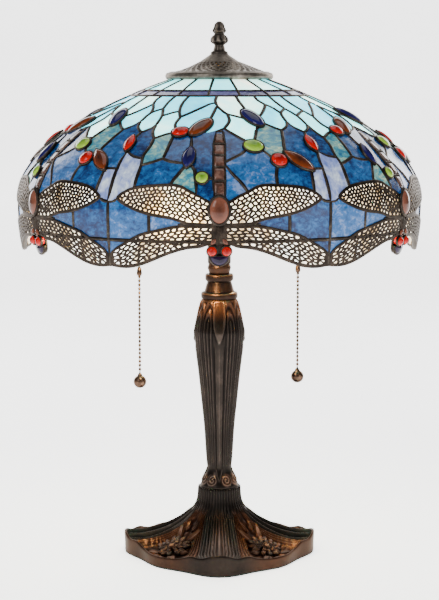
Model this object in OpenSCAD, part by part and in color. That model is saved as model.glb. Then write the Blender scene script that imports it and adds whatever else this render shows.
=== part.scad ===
// Table lamp with a leaded art-glass shade, a cast column and base, a two-light cluster and pull chains.
// Millimetres, +Z up. The origin is on the table under the middle of the base; the front faces -Y.

/* [Shade] */
// Largest radius of the shade, at its belly
shade_r = 203; // [196:0.5:208]
// Height of the belly above the table
belly_z = 365; // [361:1:368]
// Thickness of the glass
glass_t = 3; // [2:0.25:3.25]
// Width of the lead between neighbouring pieces of glass
lead_w = 2.4; // [1.6:0.2:3]
// Pieces of glass in the crown and in the band below it
crown_count = 18; // [12:6:24]
// Pieces of glass in each row of petals
petal_count = 30; // [24:6:36]

/* [Base and column] */
// Mean radius of the base's lobed outline
base_r = 91; // [86:1:100]
// Height of the lip on the four fans of the base
fan_lip_z = 20.5; // [16:0.5:24]
// Height of the edge between the fans
panel_lip_z = 11; // [9:0.5:13]
// Wall of the base and column castings
cast_wall = 4; // [3:0.5:4.5]

/* [Lights] */
// Outer radius of a bulb's glass globe
bulb_r = 24; // [20:1:26]
// Upward tilt of the sockets, in degrees
socket_tilt = 10.2; // [6:0.2:12]
// Compass direction of the front socket, in degrees from +X
socket_turn = 244.5; // [236:0.5:250]

/* [Pull chains] */
// Height of the middle of each chain's ball
ball_z = 180; // [165:1:200]
// Radius of each chain's ball
ball_r = 6.5; // [4:0.5:8]

/* [Hidden] */
$fn = 48;
fit = 0.08;
touch_gap = 0.15;

// Glass sits a little below the crest of the lead
glass_d = 1;
sectors = 6;
sector_angle = 360 / sectors;

// The shade's outer profile: a cubic from the cap to the belly, then a shallow arc down to the rim
cap_r = 54;
cap_z = belly_z + 118;
shoulder_a = [cap_r + 75, cap_z - 27];
shoulder_b = [shade_r, belly_z + 51];
skirt_r = 250;
skirt_drop = 56;
steps = 84;
first_u = -0.1;
u_step = 2.1 / steps;
zero_index = round(-first_u / u_step);
function cubic(t) = pow(1 - t, 3) * [cap_r, cap_z] + 3 * pow(1 - t, 2) * t * shoulder_a
    + 3 * (1 - t) * t * t * shoulder_b + pow(t, 3) * [shade_r, belly_z];
function skirt(a) = [shade_r - skirt_r + skirt_r * cos(a), belly_z - skirt_r * sin(a)];
function profile(u) = u <= 1 ? cubic(u) : skirt((u - 1) * asin(skirt_drop / skirt_r));
PROFILE = [for (i = [0:steps]) profile(first_u + i * u_step)];
RUN = [for (i = 0, run = 0; i <= steps;
    run = run + (i < steps ? norm(PROFILE[i + 1] - PROFILE[i]) : 0), i = i + 1) run];
R_AT = [for (i = [0:steps]) [RUN[i] - RUN[zero_index], PROFILE[i][0]]];
Z_AT = [for (i = [0:steps]) [RUN[i] - RUN[zero_index], PROFILE[i][1]]];

// s runs down the profile from the cap, d goes in from the crest of the lead, phi turns from the front
function on_profile(s) = [lookup(s, R_AT), lookup(s, Z_AT)];
function along(s) = let (t = on_profile(s + 1) - on_profile(s - 1)) t / norm(t);
function section(s, d) = on_profile(s) + d * [along(s)[1], -along(s)[0]];
function on_shade(phi, s, d) = let (p = section(s, d)) [p[0] * sin(phi), -p[0] * cos(phi), p[1]];

// Where the rows of glass end, down the profile
crown_end = 25;
band_end = 38;
petal_mid = 74;
petal_end = 108;
field_mid = 132;
field_end = 156;

// Contours of one half of a dragonfly, as [phi, s]
wing_top = [[2.6, 189], [5, 183.8], [7.7, 179.2], [9.8, 174.8], [12.3, 173], [15.9, 173.6], [19.7, 174.8],
    [22.8, 176.6], [25.2, 180.4], [27.2, 185.6]];
wing_mid = [[2.6, 210], [8, 209], [10, 206.5], [12.2, 204.2], [14.8, 202.8], [17.8, 201.2], [21.3, 198],
    [24.1, 194], [27.2, 188.4]];
hind_top = [[2.6, 211], [9.8, 210.8], [13, 212.8], [17, 216], [20.2, 218.8], [22.5, 222.6], [25.2, 228],
    [28, 233.6], [29.8, 238.6]];
hind_low = [[2.6, 226], [5, 229], [8.7, 230.6], [11.7, 233.8], [14.5, 237.4], [17.7, 242.2], [21, 246.6],
    [24, 249.2], [27, 250], [29.8, 248.8]];
rim_line = [[0, 227], [3, 228.6], [5, 231], [8.7, 232.6], [11.7, 235.8], [14.5, 239.4], [17.7, 244.2],
    [21, 248.6], [24, 251.2], [27, 251.8], [30, 250.6]];
// The lead that joins the tips of neighbouring wings
tip_line = [[28.6, 189.4], [30, 190]];
body_half = 5;
body_end = 183.5;

// A closed shell between two contours, with flat facets from one angle to the next. Each four-sided
// wall is cut along the same diagonal outside and inside, so the thickness stays even.
function halves(q) = [[q[0], q[1], q[2]], [q[0], q[2], q[3]]];
module strip(angles, top, low, d0, d1) {
    n = len(angles);
    points = [for (a = angles, q = [[lookup(a, top), d0], [lookup(a, low), d0],
        [lookup(a, low), d1], [lookup(a, top), d1]]) on_shade(a, q[0], q[1])];
    walls = [for (i = [0:n - 2], j = [4 * i], q = [
        [j, j + 4, j + 5, j + 1], [j + 6, j + 7, j + 3, j + 2],
        [j + 1, j + 5, j + 6, j + 2], [j + 3, j + 7, j + 4, j]]) each halves(q)];
    last = 4 * (n - 1);
    polyhedron(points, concat(walls, halves([0, 1, 2, 3]), halves([last + 3, last + 2, last + 1, last])));
}

// The same strip on both sides of each dragonfly's body
module both_sides(turns = sectors) {
    for (i = [0:turns - 1]) rotate(i * sector_angle) {
        children();
        mirror([1, 0, 0]) children();
    }
}

// One piece of glass or lead in a row: a slice of the turned profile
module slice(s0, s1, width, phi, d0 = glass_d, d1 = glass_d + glass_t) {
    pieces = s1 - s0 > 20 ? 3 : 1;
    outer = [for (i = [0:pieces]) section(s0 + (s1 - s0) * i / pieces, d0)];
    inner = [for (i = [pieces:-1:0]) section(s0 + (s1 - s0) * i / pieces, d1)];
    rotate(phi - 90 - width / 2) rotate_extrude(angle = width) polygon(concat(outer, inner));
}

// A ring of equal pieces with lead-wide gaps between them
module glass_row(s0, s1, count, phase) {
    gap = lead_w / on_profile(s0)[0] * 180 / PI;
    for (i = [0:count - 1])
        slice(s0 + lead_w / 2, s1 - lead_w / 2, 360 / count - gap, phase + i * 360 / count);
}

// Lead bars in the gaps of such a ring
module rib_row(s0, s1, count, phase) {
    bar = (lead_w - 2 * touch_gap) / on_profile(s0)[0] * 180 / PI;
    for (i = [0:count - 1])
        slice(s0 + lead_w / 2, s1 - lead_w / 2, bar, phase + (i + 0.5) * 360 / count, 0.5, glass_d + glass_t);
}

// Puts a child on the shade with its own +Z pointing out and its own +Y up the profile
module on_face(phi, s, d) {
    t = along(s);
    p = section(s, d);
    rotate(phi) translate([0, -p[0], p[1]]) rotate([atan2(-t[1], t[0]), 0, 0]) children();
}

module felt_outline(inset) {
    polygon([for (a = [0:5:355]) (base_edge(a) - inset) * [cos(a), sin(a)]]);
}

// --- Base and column ---------------------------------------------------------------------------------

felt_t = 1.6;
collar_z = 69;
stem_r = 5;
stem_hole = 5.6;
function base_edge(a) = base_r + 4.6 * cos(4 * a) + 2.6 * cos(8 * a);
function lip_z(a) = panel_lip_z + (fan_lip_z - panel_lip_z) * pow((1 + cos(4 * a)) / 2, 1.5);
flare_r = 31;
flare_z = 41.5;
function flare(k, a) = [flare_r + (base_edge(a) - flare_r) * k, lip_z(a) + (flare_z - lip_z(a)) * pow(1 - k, 2.2)];
flare_rings = [0.15, 0.35, 0.55, 0.75, 0.9, 1];
collar = [[stem_hole, collar_z], [21.6, collar_z], [22.9, 54], [27.3, 46], [flare_r, flare_z]];
web_z = 58;
function base_section(a) = concat(
    collar,
    [for (k = flare_rings) flare(k, a)],
    [[base_edge(a), felt_t], [base_edge(a) - cast_wall, felt_t]],
    [for (i = [5:-1:0]) flare(flare_rings[i], a) - [cast_wall, cast_wall + 0.5]],
    [[flare_r - 6, flare_z - 5], [17, 50], [16, web_z], [stem_hole, web_z]]
);

module base_shell() {
    n = 72;
    m = len(base_section(0));
    points = [for (j = [0:n - 1], q = base_section(j * 360 / n))
        [q[0] * cos(j * 360 / n), q[0] * sin(j * 360 / n), q[1]]];
    polyhedron(points, [for (j = [0:n - 1], k = [0:m - 1])
        [j * m + k, j * m + (k + 1) % m, ((j + 1) % n) * m + (k + 1) % m, ((j + 1) % n) * m + k]]);
}

bushing_z = 9.5;
bushing_r = 4.8;
cord_r = 3.5;
back_y = base_edge(90);

module base_casting() color("#3b2f2b") difference() {
    base_shell();
    translate([0, back_y - 12, bushing_z]) rotate([-90, 0, 0]) cylinder(r = bushing_r + 0.05, h = 20);
}

module cord_bushing() color("#1c1c1c") translate([0, back_y, bushing_z]) rotate([-90, 0, 0]) difference() {
    union() {
        translate([0, 0, -8]) cylinder(r = bushing_r, h = 9.6);
        translate([0, 0, 0.1]) cylinder(r = bushing_r + 1.4, h = 1.5);
        translate([0, 0, -8]) cylinder(r = bushing_r + 1, h = 2.6);
    }
    translate([0, 0, -9]) cylinder(r = cord_r, h = 12);
}

module felt_pad() color("#2e4a3a") linear_extrude(felt_t - 0.05) felt_outline(0.6);

nut_z = 2.6;
plate_z = 7.8;
plate_t = 3.6;
module base_nut() color("#b59a5a") translate([0, 0, nut_z]) difference() {
    cylinder(r = 8, h = 4, $fn = 6);
    translate([0, 0, -1]) cylinder(r = stem_r + fit, h = 6, $fn = 48);
}
module base_washer() color("#9a9a9a") translate([0, 0, nut_z + 4]) difference() {
    cylinder(r = 10, h = 1.2);
    translate([0, 0, -1]) cylinder(r = stem_r + fit, h = 4);
}
module ballast_plate() color("#4a4a4a") translate([0, 0, plate_z]) difference() {
    cylinder(r = 58, h = plate_t);
    translate([0, 0, -1]) cylinder(r = stem_r + fit, h = 6);
}
module base_spacer() color("#8a8a8a") translate([0, 0, plate_z + plate_t]) difference() {
    cylinder(r = 8, h = web_z - plate_z - plate_t);
    translate([0, 0, -1]) cylinder(r = stem_r + fit, h = 50);
}

stem_top = 340;
module stem_tube() color("#b59a5a") translate([0, 0, felt_t + 0.4]) difference() {
    cylinder(r = stem_r, h = stem_top - felt_t - 0.4);
    translate([0, 0, -1]) cylinder(r = 3.6, h = stem_top + 4);
}

column_foot = collar_z;
column_top = 263.5;
column_line = [[19.4, column_foot], [19.4, 71], [14.9, 81], [12.8, 87], [13.7, 104], [15.5, 132], [18.3, 159],
    [21, 185], [23.5, 205], [25.9, 224], [26.4, 231], [23.8, 244], [21.4, 254], [17, column_top]];
module column_casting() color("#4a3a33") rotate_extrude() polygon(concat(
    column_line,
    [[stem_hole, column_top], [stem_hole, 256]],
    [for (i = [len(column_line) - 2:-1:3]) column_line[i] - [cast_wall, 0]],
    [[stem_hole, 80], [stem_hole, column_foot]]
));

module neck_cone() color("#5a4234") rotate_extrude() polygon([
    [stem_hole, column_top], [17.6, column_top], [18.6, 264.6], [18.6, 268.6], [17.4, 270], [15.2, 270.4],
    [12.2, 281], [13.6, 281.6], [14.3, 283], [14.3, 287], [13.4, 288.5], [stem_hole, 288.5]
]);
module neck_spindle() color("#3f312c") rotate_extrude() polygon([
    [stem_hole, 288.5], [10.5, 288.5], [10.9, 291], [11.9, 294], [11.5, 297], [10.8, 299], [stem_hole, 299]
]);
module neck_sleeve() color("#3f312c") rotate_extrude() polygon([
    [stem_hole, 299], [11.7, 299], [11.7, 322], [13, 324], [13, 326], [stem_hole, 326]
]);

// --- Cluster, sockets and bulbs ----------------------------------------------------------------------

cluster_z = 326;
socket_z = 334;
cap_x = 22;
shell_x = 34;
shell_end = 70;
shell_r = 17;
bulb_cap_r = 13.1;
contact_x = 43;
globe_x = 102;

// Turns +X onto a socket's own compass direction: k = 0 is the front socket and k = 1 the back one
module socket_side(k) rotate(socket_turn + 180 * k) children();
// The same, tilted up, with the socket's axis as +X
module socket_axis(k) socket_side(k) translate([0, 0, socket_z]) rotate([0, -socket_tilt, 0]) children();
module along_axis(x) translate([x, 0, 0]) rotate([0, 90, 0]) children();

module cluster_body() color("#a3823f") difference() {
    union() {
        translate([0, 0, cluster_z]) cylinder(r = 14, h = 30);
        for (k = [0, 1]) socket_axis(k) along_axis(0) cylinder(r = 7.5, h = cap_x);
    }
    translate([0, 0, cluster_z - 1]) cylinder(r = stem_r + fit, h = 32);
}

module socket_cap(k) color("#a3823f") socket_axis(k) along_axis(cap_x) rotate_extrude() polygon([
    [0, 0], [8, 0], [12, 2], [15.4, 6], [shell_r, 12], [15.6, 12], [13.6, 7], [10, 4], [0, 4]
]);
module socket_shell(k) color("#b8964a") socket_axis(k) along_axis(shell_x) difference() {
    cylinder(r = shell_r, h = shell_end - shell_x);
    translate([0, 0, -1]) cylinder(r = shell_r - 0.8, h = shell_end);
}
module socket_liner(k) color("#2b2b2b") socket_axis(k) along_axis(shell_x + 0.2) difference() {
    cylinder(r = shell_r - 0.9, h = shell_end - shell_x - 1);
    translate([0, 0, -1]) cylinder(r = shell_r - 1.9, h = shell_end);
}
module screw_shell(k) color("#c9b27a") socket_axis(k) along_axis(contact_x - 1) difference() {
    cylinder(r = bulb_cap_r + 0.9, h = 25);
    translate([0, 0, -1]) cylinder(r = bulb_cap_r + fit, h = 30);
}
module socket_contact(k) color("#d8cfb8") socket_axis(k) union() {
    along_axis(shell_x + 1.2) cylinder(r = shell_r - 2, h = contact_x - shell_x - 2.3);
    along_axis(contact_x - 1.2) cylinder(r = 3, h = 1);
}

// The guide arm runs level from the socket's side to the chain, and ends in a small bell
guide_x = 48.2;
guide_y = 66.1;
guide_z = socket_z + guide_x * tan(socket_tilt);
bell_low = 330;
bell_top = guide_z + 4;
module chain_guide(k) color("#5c4a2c") socket_side(k) difference() {
    union() {
        translate([guide_x, -guide_y, bell_low]) cylinder(r = 4.4, h = bell_top - bell_low);
        translate([guide_x, -guide_y, bell_low]) cylinder(r = 5.2, h = 3);
        translate([guide_x, -shell_r - 0.1, guide_z]) rotate([90, 0, 0]) cylinder(r = 2.4, h = guide_y - shell_r);
        translate([guide_x, -shell_r - 0.1, guide_z]) rotate([90, 0, 0]) cylinder(r = 4.4, h = 1.8);
    }
    translate([guide_x, -guide_y, bell_low - 1]) cylinder(r = 2.2, h = bell_top - bell_low - 0.4);
}

module bulb(k) color("#fff0c8") socket_axis(k) along_axis(0) rotate_extrude() polygon(concat(
    [[0, 67.3], [bulb_cap_r - 0.6, 67.3], [bulb_cap_r + 0.4, 74], [16.5, 84]],
    [for (a = [130:-10:0]) [bulb_r * sin(a), globe_x + bulb_r * cos(a)]]
));
module bulb_cap(k) color("#c8c8c8") socket_axis(k) along_axis(0) rotate_extrude() polygon([
    [0, contact_x + 0.3], [4, contact_x + 0.3], [5, contact_x + 2], [11, contact_x + 5],
    [bulb_cap_r, contact_x + 6.5], [bulb_cap_r, 66], [bulb_cap_r - 0.6, 67.2], [0, 67.2]
]);

// --- Pull chains -------------------------------------------------------------------------------------

bead_r = 1.5;
bead_pitch = 4.1;
link_r = 0.5;
chain_top = guide_z - 1.4;
coupling_z = [288, 297];
module beads(low, high) {
    n = floor((high - low) / bead_pitch);
    translate([0, 0, low]) cylinder(r = link_r, h = high - low, $fn = 24);
    for (i = [0:n - 1]) translate([0, 0, high - bead_r - i * bead_pitch]) sphere(r = bead_r, $fn = 24);
}
module pull_chain(k) color("#3a2c22") socket_side(k) translate([guide_x, -guide_y, 0]) union() {
    beads(coupling_z[1] - 0.5, chain_top);
    rotate_extrude() polygon([[0, coupling_z[0]], [2, coupling_z[0]], [2.7, coupling_z[0] + 3],
        [2.3, coupling_z[1] - 2], [1.4, coupling_z[1]], [0, coupling_z[1]]]);
    beads(ball_z + ball_r, coupling_z[0] + 0.5);
    translate([0, 0, ball_z + ball_r - 0.8]) cylinder(r1 = 2.4, r2 = 1.3, h = 2.4);
    translate([0, 0, ball_z]) sphere(r = ball_r);
}

// --- Shade support -----------------------------------------------------------------------------------

riser_r = 4.9;
stud_r = 3.15;
seat_z = 472;
shoulder_z = 480;
hub_top = 506.5;
cap_top = 509;
ring_r = 39;
module riser_rod() color("#b59a5a") union() {
    translate([0, 0, stem_top]) cylinder(r = riser_r, h = shoulder_z - stem_top);
    translate([0, 0, shoulder_z]) cylinder(r = stud_r, h = 40);
}
module shade_seat_nut() color("#b59a5a") translate([0, 0, seat_z - 6]) difference() {
    cylinder(r = 10, h = 6, $fn = 6);
    translate([0, 0, -1]) cylinder(r = riser_r + fit, h = 8, $fn = 48);
}
module shade_spider() color("#a3823f") difference() {
    union() {
        translate([0, 0, seat_z]) cylinder(r = 8, h = hub_top - seat_z);
        for (a = [30, 150, 270]) rotate(a)
            translate([6, -4, seat_z + 3]) cube([ring_r - 6.2, 8, 2.5]);
    }
    translate([0, 0, seat_z - 1]) cylinder(r = riser_r + fit, h = hub_top - seat_z + 2);
}
module shade_top_ring() color("#a3823f") rotate_extrude() polygon([
    [ring_r, seat_z + 2], [ring_r + 3, seat_z + 2], [ring_r + 3.6, cap_z - 2], [ring_r + 2, cap_z + 3],
    [ring_r, cap_z + 3]
]);

cap_outer = [[stud_r + 0.35, cap_top], [8.7, cap_top], [17.2, 502.5], [28, 497], [38, 493], [46, 491.2],
    [51, 490.2], [53.4, 488.6], [cap_r, 486.4], [53.2, 484.4], [51.4, 483.4]];
cap_inner = [[49.8, 484.6], [48.4, 487.8], [44, 489.2], [36, 490.9], [27, 494.8], [16.5, 500],
    [8.2, hub_top], [stud_r + 0.35, hub_top]];
module vented_cap() color("#6f675c") difference() {
    rotate_extrude() polygon(concat(cap_outer, cap_inner));
    for (row = [0:2], i = [0:23]) rotate(i * 15 + row * 7.5)
        translate([23.5 + row * 6.5, 0, 485]) cylinder(r = 1.5 + row * 0.2, h = 24, $fn = 4);
}

// --- Shade glass and lead ----------------------------------------------------------------------------

module crown_glass() color("#9fe6e0") glass_row(-7.5, crown_end, crown_count, 3);
module band_glass() color("#9a8fd0") glass_row(crown_end, band_end, crown_count, 3);
module petal_glass_upper() color("#bfeee2") glass_row(band_end, petal_mid, petal_count, 6);
module petal_glass_lower() color("#d6f2e4") glass_row(petal_mid, petal_end, petal_count, 0);

// The blue field: bands cut into columns, then pieces that follow the tops of the wings
field_edges = [2.2, 9, 16, 23, 29.6];
field_gap = 0.35;
module field_piece(a, b, top, low) {
    strip([a + field_gap, (a + b) / 2, b - field_gap], [[a, top], [b, top]], low,
        glass_d, glass_d + glass_t);
}
module field_glass() color("#2f5fc0") both_sides() for (i = [0:3]) {
    a = field_edges[i];
    b = field_edges[i + 1];
    field_piece(a, b, petal_end + lead_w / 2, [[a, field_mid - lead_w / 2], [b, field_mid - lead_w / 2]]);
    field_piece(a, b, field_mid + lead_w / 2, [[a, field_end - lead_w / 2], [b, field_end - lead_w / 2]]);
    strip([for (k = [0:3]) a + field_gap + (b - a - 2 * field_gap) * k / 3],
        [[a, field_end + lead_w / 2], [b, field_end + lead_w / 2]],
        [for (q = concat(wing_top, tip_line)) q - [0, lead_w / 2]], glass_d, glass_d + glass_t);
}

body_cuts = [108.5, 125, 140, 154, 169];
module abdomen_glass() color("#6a4a2c") for (i = [0:sectors - 1]) rotate(i * sector_angle)
    for (j = [0:len(body_cuts) - 1]) {
        s0 = body_cuts[j] + 0.6;
        s1 = (j < len(body_cuts) - 1 ? body_cuts[j + 1] : body_end) - 0.6;
        half = (body_half - 1.4 * (len(body_cuts) - 1 - j) / len(body_cuts)) / on_profile(s0)[0] * 180 / PI;
        strip([-half, half], [[-9, s0], [9, s0]], [[-9, s1], [9, s1]], 0.2, glass_d + glass_t);
    }

// Wing glass is cut in three across each wing, and the pierced overlay turns at the same angles
upper_cuts = [3, 11.2, 19.2, 26.8];
lower_cuts = [3, 11.5, 20.5, 29.4];
function cut_angles(cuts, i) = [for (k = [0:2]) cuts[i] + 0.3 + (cuts[i + 1] - cuts[i] - 0.6) * k / 2];
function widened(line, by) = [for (q = line) q + [0, by]];
module wing_pieces(cuts, top, low) for (i = [0:2])
    strip(cut_angles(cuts, i), widened(top, 0.6), widened(low, -0.6), glass_d + 0.4, glass_d + glass_t);
module wing_glass_upper() color("#f2f0dc") both_sides() wing_pieces(upper_cuts, wing_top, wing_mid);
module wing_glass_lower() color("#f2f0dc") both_sides() wing_pieces(lower_cuts, hind_top, hind_low);

function wing_angles(cuts) = [for (i = [0:2]) each cut_angles(cuts, i)];
module wing_filigree_upper() color("#5a4a38") both_sides()
    strip(wing_angles(upper_cuts), wing_top, wing_mid, 0, glass_d + 0.2);
module wing_filigree_lower() color("#5a4a38") both_sides()
    strip(wing_angles(lower_cuts), hind_top, hind_low, 0, glass_d + 0.2);

// Blue panels between an upper and a lower wing
skirt_cuts = [11.5, 20.8, 29.6];
module skirt_glass() color("#2a52b4") both_sides() for (i = [0:1])
    strip(cut_angles(skirt_cuts, i), widened(concat(wing_mid, tip_line), 1.2), widened(hind_top, -1.2),
        glass_d, glass_d + glass_t);

// A long pad with round ends, lying along its own X
module pad(length, width, h) linear_extrude(h) union() {
    for (x = [-1, 1]) translate([x * (length - width) / 2, 0]) circle(d = width);
    square([length - width, width], center = true);
}
// A pad pointed at both ends
module leaf(length, width, h) {
    arc_r = (length * length + width * width) / (4 * width);
    linear_extrude(h) intersection() {
        translate([0, arc_r - width / 2]) circle(r = arc_r);
        translate([0, width / 2 - arc_r]) circle(r = arc_r);
    }
}
jewel_d = -0.6;
module on_each(phi, s, turn = 0) for (i = [0:sectors - 1])
    on_face(phi + i * sector_angle, s, jewel_d) rotate(turn) children();

module thorax_glass() color("#7a4a30") on_each(0, 196.5, 90) pad(25, 18.5, 3.6);
module red_jewels() color("#d01818") {
    on_each(-13.6, 108.8, 20) pad(16, 11, 3.2);
    on_each(17.3, 147.3) cylinder(d = 15, h = 3.6);
    on_each(30.4, 126.5, -86) leaf(23, 10, 3);
}
module amber_jewels() color("#b0641c") {
    on_each(-6.7, 101, 45) pad(22, 12, 3.2);
    on_each(23.3, 148.5, -45) leaf(34, 12.5, 3);
}
module blue_jewels() color("#2c2a86") {
    on_each(13.4, 85, -60) pad(26, 13, 3.6);
    on_each(-8.8, 143.4, 80) leaf(22, 12.5, 3);
}
module green_jewels() color("#3d9c3a") {
    on_each(10.6, 129.4, 10) pad(17, 11.5, 3.2);
    on_each(-4.6, 166.2) cylinder(d = 11.5, h = 3.4);
}

// A plate behind each dragonfly's body, from its thorax to its head
plate_d = glass_d + glass_t + 0.3;
module body_plates() color("#4a3c30") for (i = [0:sectors - 1]) rotate(i * sector_angle)
    strip([-2.9, 0, 2.9], [[-3, 190], [3, 190]], [[-3, 247], [3, 247]], plate_d, plate_d + 1.2);
eye_r = 4.2;
module eye_beads() color("#e01010") for (side = [-1, 1]) for (i = [0:sectors - 1])
    on_face(i * sector_angle + side * 1.85, 233.2, 0) sphere(r = eye_r);
module head_glass() color("#4b3370") for (i = [0:sectors - 1])
    on_face(i * sector_angle, 238.2, plate_d - 0.1) linear_extrude(4.2) intersection() {
        circle(r = 9);
        translate([-10, -10]) square([20, 10]);
    }

ring_lines = [-9.2, crown_end, band_end, petal_mid, petal_end];
module lead_rings() color("#2f2a28") for (s = ring_lines) rotate_extrude() polygon([
    section(s - lead_w / 2 + touch_gap, glass_d + glass_t), section(s - lead_w / 2 + touch_gap, 0.4),
    section(s, 0), section(s + lead_w / 2 - touch_gap, 0.4),
    section(s + lead_w / 2 - touch_gap, glass_d + glass_t)
]);
module lead_ribs() color("#2f2a28") {
    rib_row(-7.5, crown_end, crown_count, 3);
    rib_row(crown_end, band_end, crown_count, 3);
    rib_row(band_end, petal_mid, petal_count, 6);
    rib_row(petal_mid, petal_end, petal_count, 0);
    for (i = [0:sectors - 1]) {
        for (side = [-1, 1], j = [1:3])
            slice(petal_end + lead_w / 2, field_end, 0.5, i * sector_angle + side * field_edges[j], 0.5);
        slice(petal_end + lead_w / 2, field_end, 0.5, (i + 0.5) * sector_angle, 0.5);
        slice(field_end + touch_gap, 238, 0.44, (i + 0.5) * sector_angle, 0);
    }
}

// The rim's lead follows the scalloped lower edge all the way round
function rim_s(a) = let (m = (a + 360) % sector_angle) lookup(m > sector_angle / 2 ? sector_angle - m : m, rim_line);
module rim_came() color("#3a322c") {
    n = 120;
    points = [for (j = [0:n - 1]) let (a = j * 360 / n, s = rim_s(a))
        for (q = [[s - 1.8, 0], [s, 0], [s, glass_d + glass_t], [s - 1.8, glass_d + glass_t]])
            on_shade(a, q[0], q[1])];
    polyhedron(points, [for (j = [0:n - 1], k = [0:3])
        [((j + 1) % n) * 4 + k, ((j + 1) % n) * 4 + (k + 1) % 4, j * 4 + (k + 1) % 4, j * 4 + k]]);
}

// --- Finial ------------------------------------------------------------------------------------------

module finial() color("#3b332d") difference() {
    rotate_extrude() polygon([
        [0, cap_top], [8.7, cap_top], [8.6, 510.2], [6.4, 511.6], [4.9, 514], [4.6, 517], [6.8, 519],
        [8.2, 520.8], [8.4, 522.2], [7.4, 525], [4.9, 528], [5.6, 529.4], [6.5, 531.4], [5, 534], [4.4, 537],
        [2.8, 540], [0, 541]
    ]);
    translate([0, 0, cap_top - 1]) cylinder(r = stud_r + fit, h = 13);
}

felt_pad();
base_casting();
base_nut();
base_washer();
ballast_plate();
base_spacer();
cord_bushing();
stem_tube();
column_casting();
neck_cone();
neck_spindle();
neck_sleeve();
cluster_body();
socket_cap(0);  // socket_cap_front
socket_shell(0);  // socket_shell_front
socket_liner(0);  // socket_liner_front
screw_shell(0);  // screw_shell_front
socket_contact(0);  // socket_contact_front
chain_guide(0);  // chain_guide_front
socket_cap(1);  // socket_cap_back
socket_shell(1);  // socket_shell_back
socket_liner(1);  // socket_liner_back
screw_shell(1);  // screw_shell_back
socket_contact(1);  // socket_contact_back
chain_guide(1);  // chain_guide_back
riser_rod();
shade_seat_nut();
shade_spider();
shade_top_ring();
crown_glass();
band_glass();
petal_glass_upper();
petal_glass_lower();
field_glass();
abdomen_glass();
wing_glass_upper();
wing_glass_lower();
skirt_glass();
wing_filigree_upper();
wing_filigree_lower();
thorax_glass();
body_plates();
head_glass();
eye_beads();
red_jewels();
amber_jewels();
blue_jewels();
green_jewels();
lead_rings();
lead_ribs();
rim_came();
vented_cap();
finial();
bulb(0);  // bulb_front
bulb_cap(0);  // bulb_cap_front
bulb(1);  // bulb_back
bulb_cap(1);  // bulb_cap_back
pull_chain(0);  // pull_chain_left
pull_chain(1);  // pull_chain_right
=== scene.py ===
"""Stained glass table lamp: the detailed model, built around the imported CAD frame.

Metres for objects and millimetres in the shape code; +Z is up and the front faces -Y.
"""
import bisect
import math
import random

import bpy
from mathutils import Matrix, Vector
from mathutils.geometry import delaunay_2d_cdt


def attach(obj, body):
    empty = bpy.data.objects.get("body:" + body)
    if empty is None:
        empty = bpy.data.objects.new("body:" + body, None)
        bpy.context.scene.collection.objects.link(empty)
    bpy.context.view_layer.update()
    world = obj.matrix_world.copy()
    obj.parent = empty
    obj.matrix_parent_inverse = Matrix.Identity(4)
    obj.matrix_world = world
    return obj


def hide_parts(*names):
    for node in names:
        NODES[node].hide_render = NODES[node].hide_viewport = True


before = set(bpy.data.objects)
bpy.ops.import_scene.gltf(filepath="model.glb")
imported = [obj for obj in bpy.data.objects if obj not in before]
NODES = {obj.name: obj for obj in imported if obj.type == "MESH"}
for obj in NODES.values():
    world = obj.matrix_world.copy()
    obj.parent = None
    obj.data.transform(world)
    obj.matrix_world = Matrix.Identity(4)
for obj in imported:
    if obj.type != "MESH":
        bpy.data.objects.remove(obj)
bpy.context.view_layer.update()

MM = 0.001
SECTORS, SECTOR = 6, 60


def clamp(x):
    return min(1.0, max(0.0, x))


def polar(r, a, z):
    return r * math.cos(a), r * math.sin(a), z


def spun(points, i, turns):
    """Points turned round the Z axis by i steps of a full circle's turns."""
    c, s = math.cos(math.tau * i / turns), math.sin(math.tau * i / turns)
    return [(x * c - y * s, x * s + y * c, z) for x, y, z in points]


# --- Meshes -------------------------------------------------------------------------------------------

def add_piece(name, verts, faces, material, body, slot, nodes=(), smooth=True, values=None, crease=None):
    """A mesh piece from points in millimetres; it rides on a body and stands for CAD nodes."""
    mesh = bpy.data.meshes.new(name)
    mesh.from_pydata([(x * MM, y * MM, z * MM) for x, y, z in verts], [], faces)
    mesh.validate()
    for key, numbers in (values or {}).items():
        layer = mesh.attributes.new(key, "FLOAT", "POINT")
        layer.data.foreach_set("value", numbers)
    mesh.polygons.foreach_set("use_smooth", [smooth] * len(mesh.polygons))
    mesh.materials.append(material)
    piece = bpy.data.objects.new(name, mesh)
    bpy.context.scene.collection.objects.link(piece)
    if smooth and crease:
        mesh.set_sharp_from_angle(angle=math.radians(crease))
    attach(piece, body)
    if nodes:
        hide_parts(*nodes)
    return piece


class Shape:
    """Collects points, faces and per-point values for one piece."""

    def __init__(self, *keys):
        self.verts, self.faces = [], []
        self.values = {key: [] for key in keys}

    def add(self, verts, faces, **values):
        start = len(self.verts)
        self.verts.extend(verts)
        self.faces.extend([tuple(start + i for i in f) for f in faces])
        for key, numbers in self.values.items():
            v = values.get(key, 0.5)
            numbers.extend(v if isinstance(v, list) else [v] * len(verts))

    def repeat(self):
        """Copies everything so far to the other sectors."""
        verts, faces = list(self.verts), list(self.faces)
        values = {key: list(numbers) for key, numbers in self.values.items()}
        for i in range(1, SECTORS):
            self.add(spun(verts, i, SECTORS), faces, **values)

    def piece(self, name, material, body, slot, nodes=(), smooth=True, crease=None):
        return add_piece(name, self.verts, self.faces, material, body, slot, nodes, smooth, self.values,
                         crease)


def grid_faces(rows, cols, wrap_rows=False, wrap_cols=False):
    """Quads over a grid of points; a wrapped side joins its last line to its first."""
    faces = []
    for i in range(rows if wrap_rows else rows - 1):
        for j in range(cols if wrap_cols else cols - 1):
            a, b = i * cols, (i + 1) % rows * cols
            k = (j + 1) % cols
            faces.append((a + j, b + j, b + k, a + k))
    return faces


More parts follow.
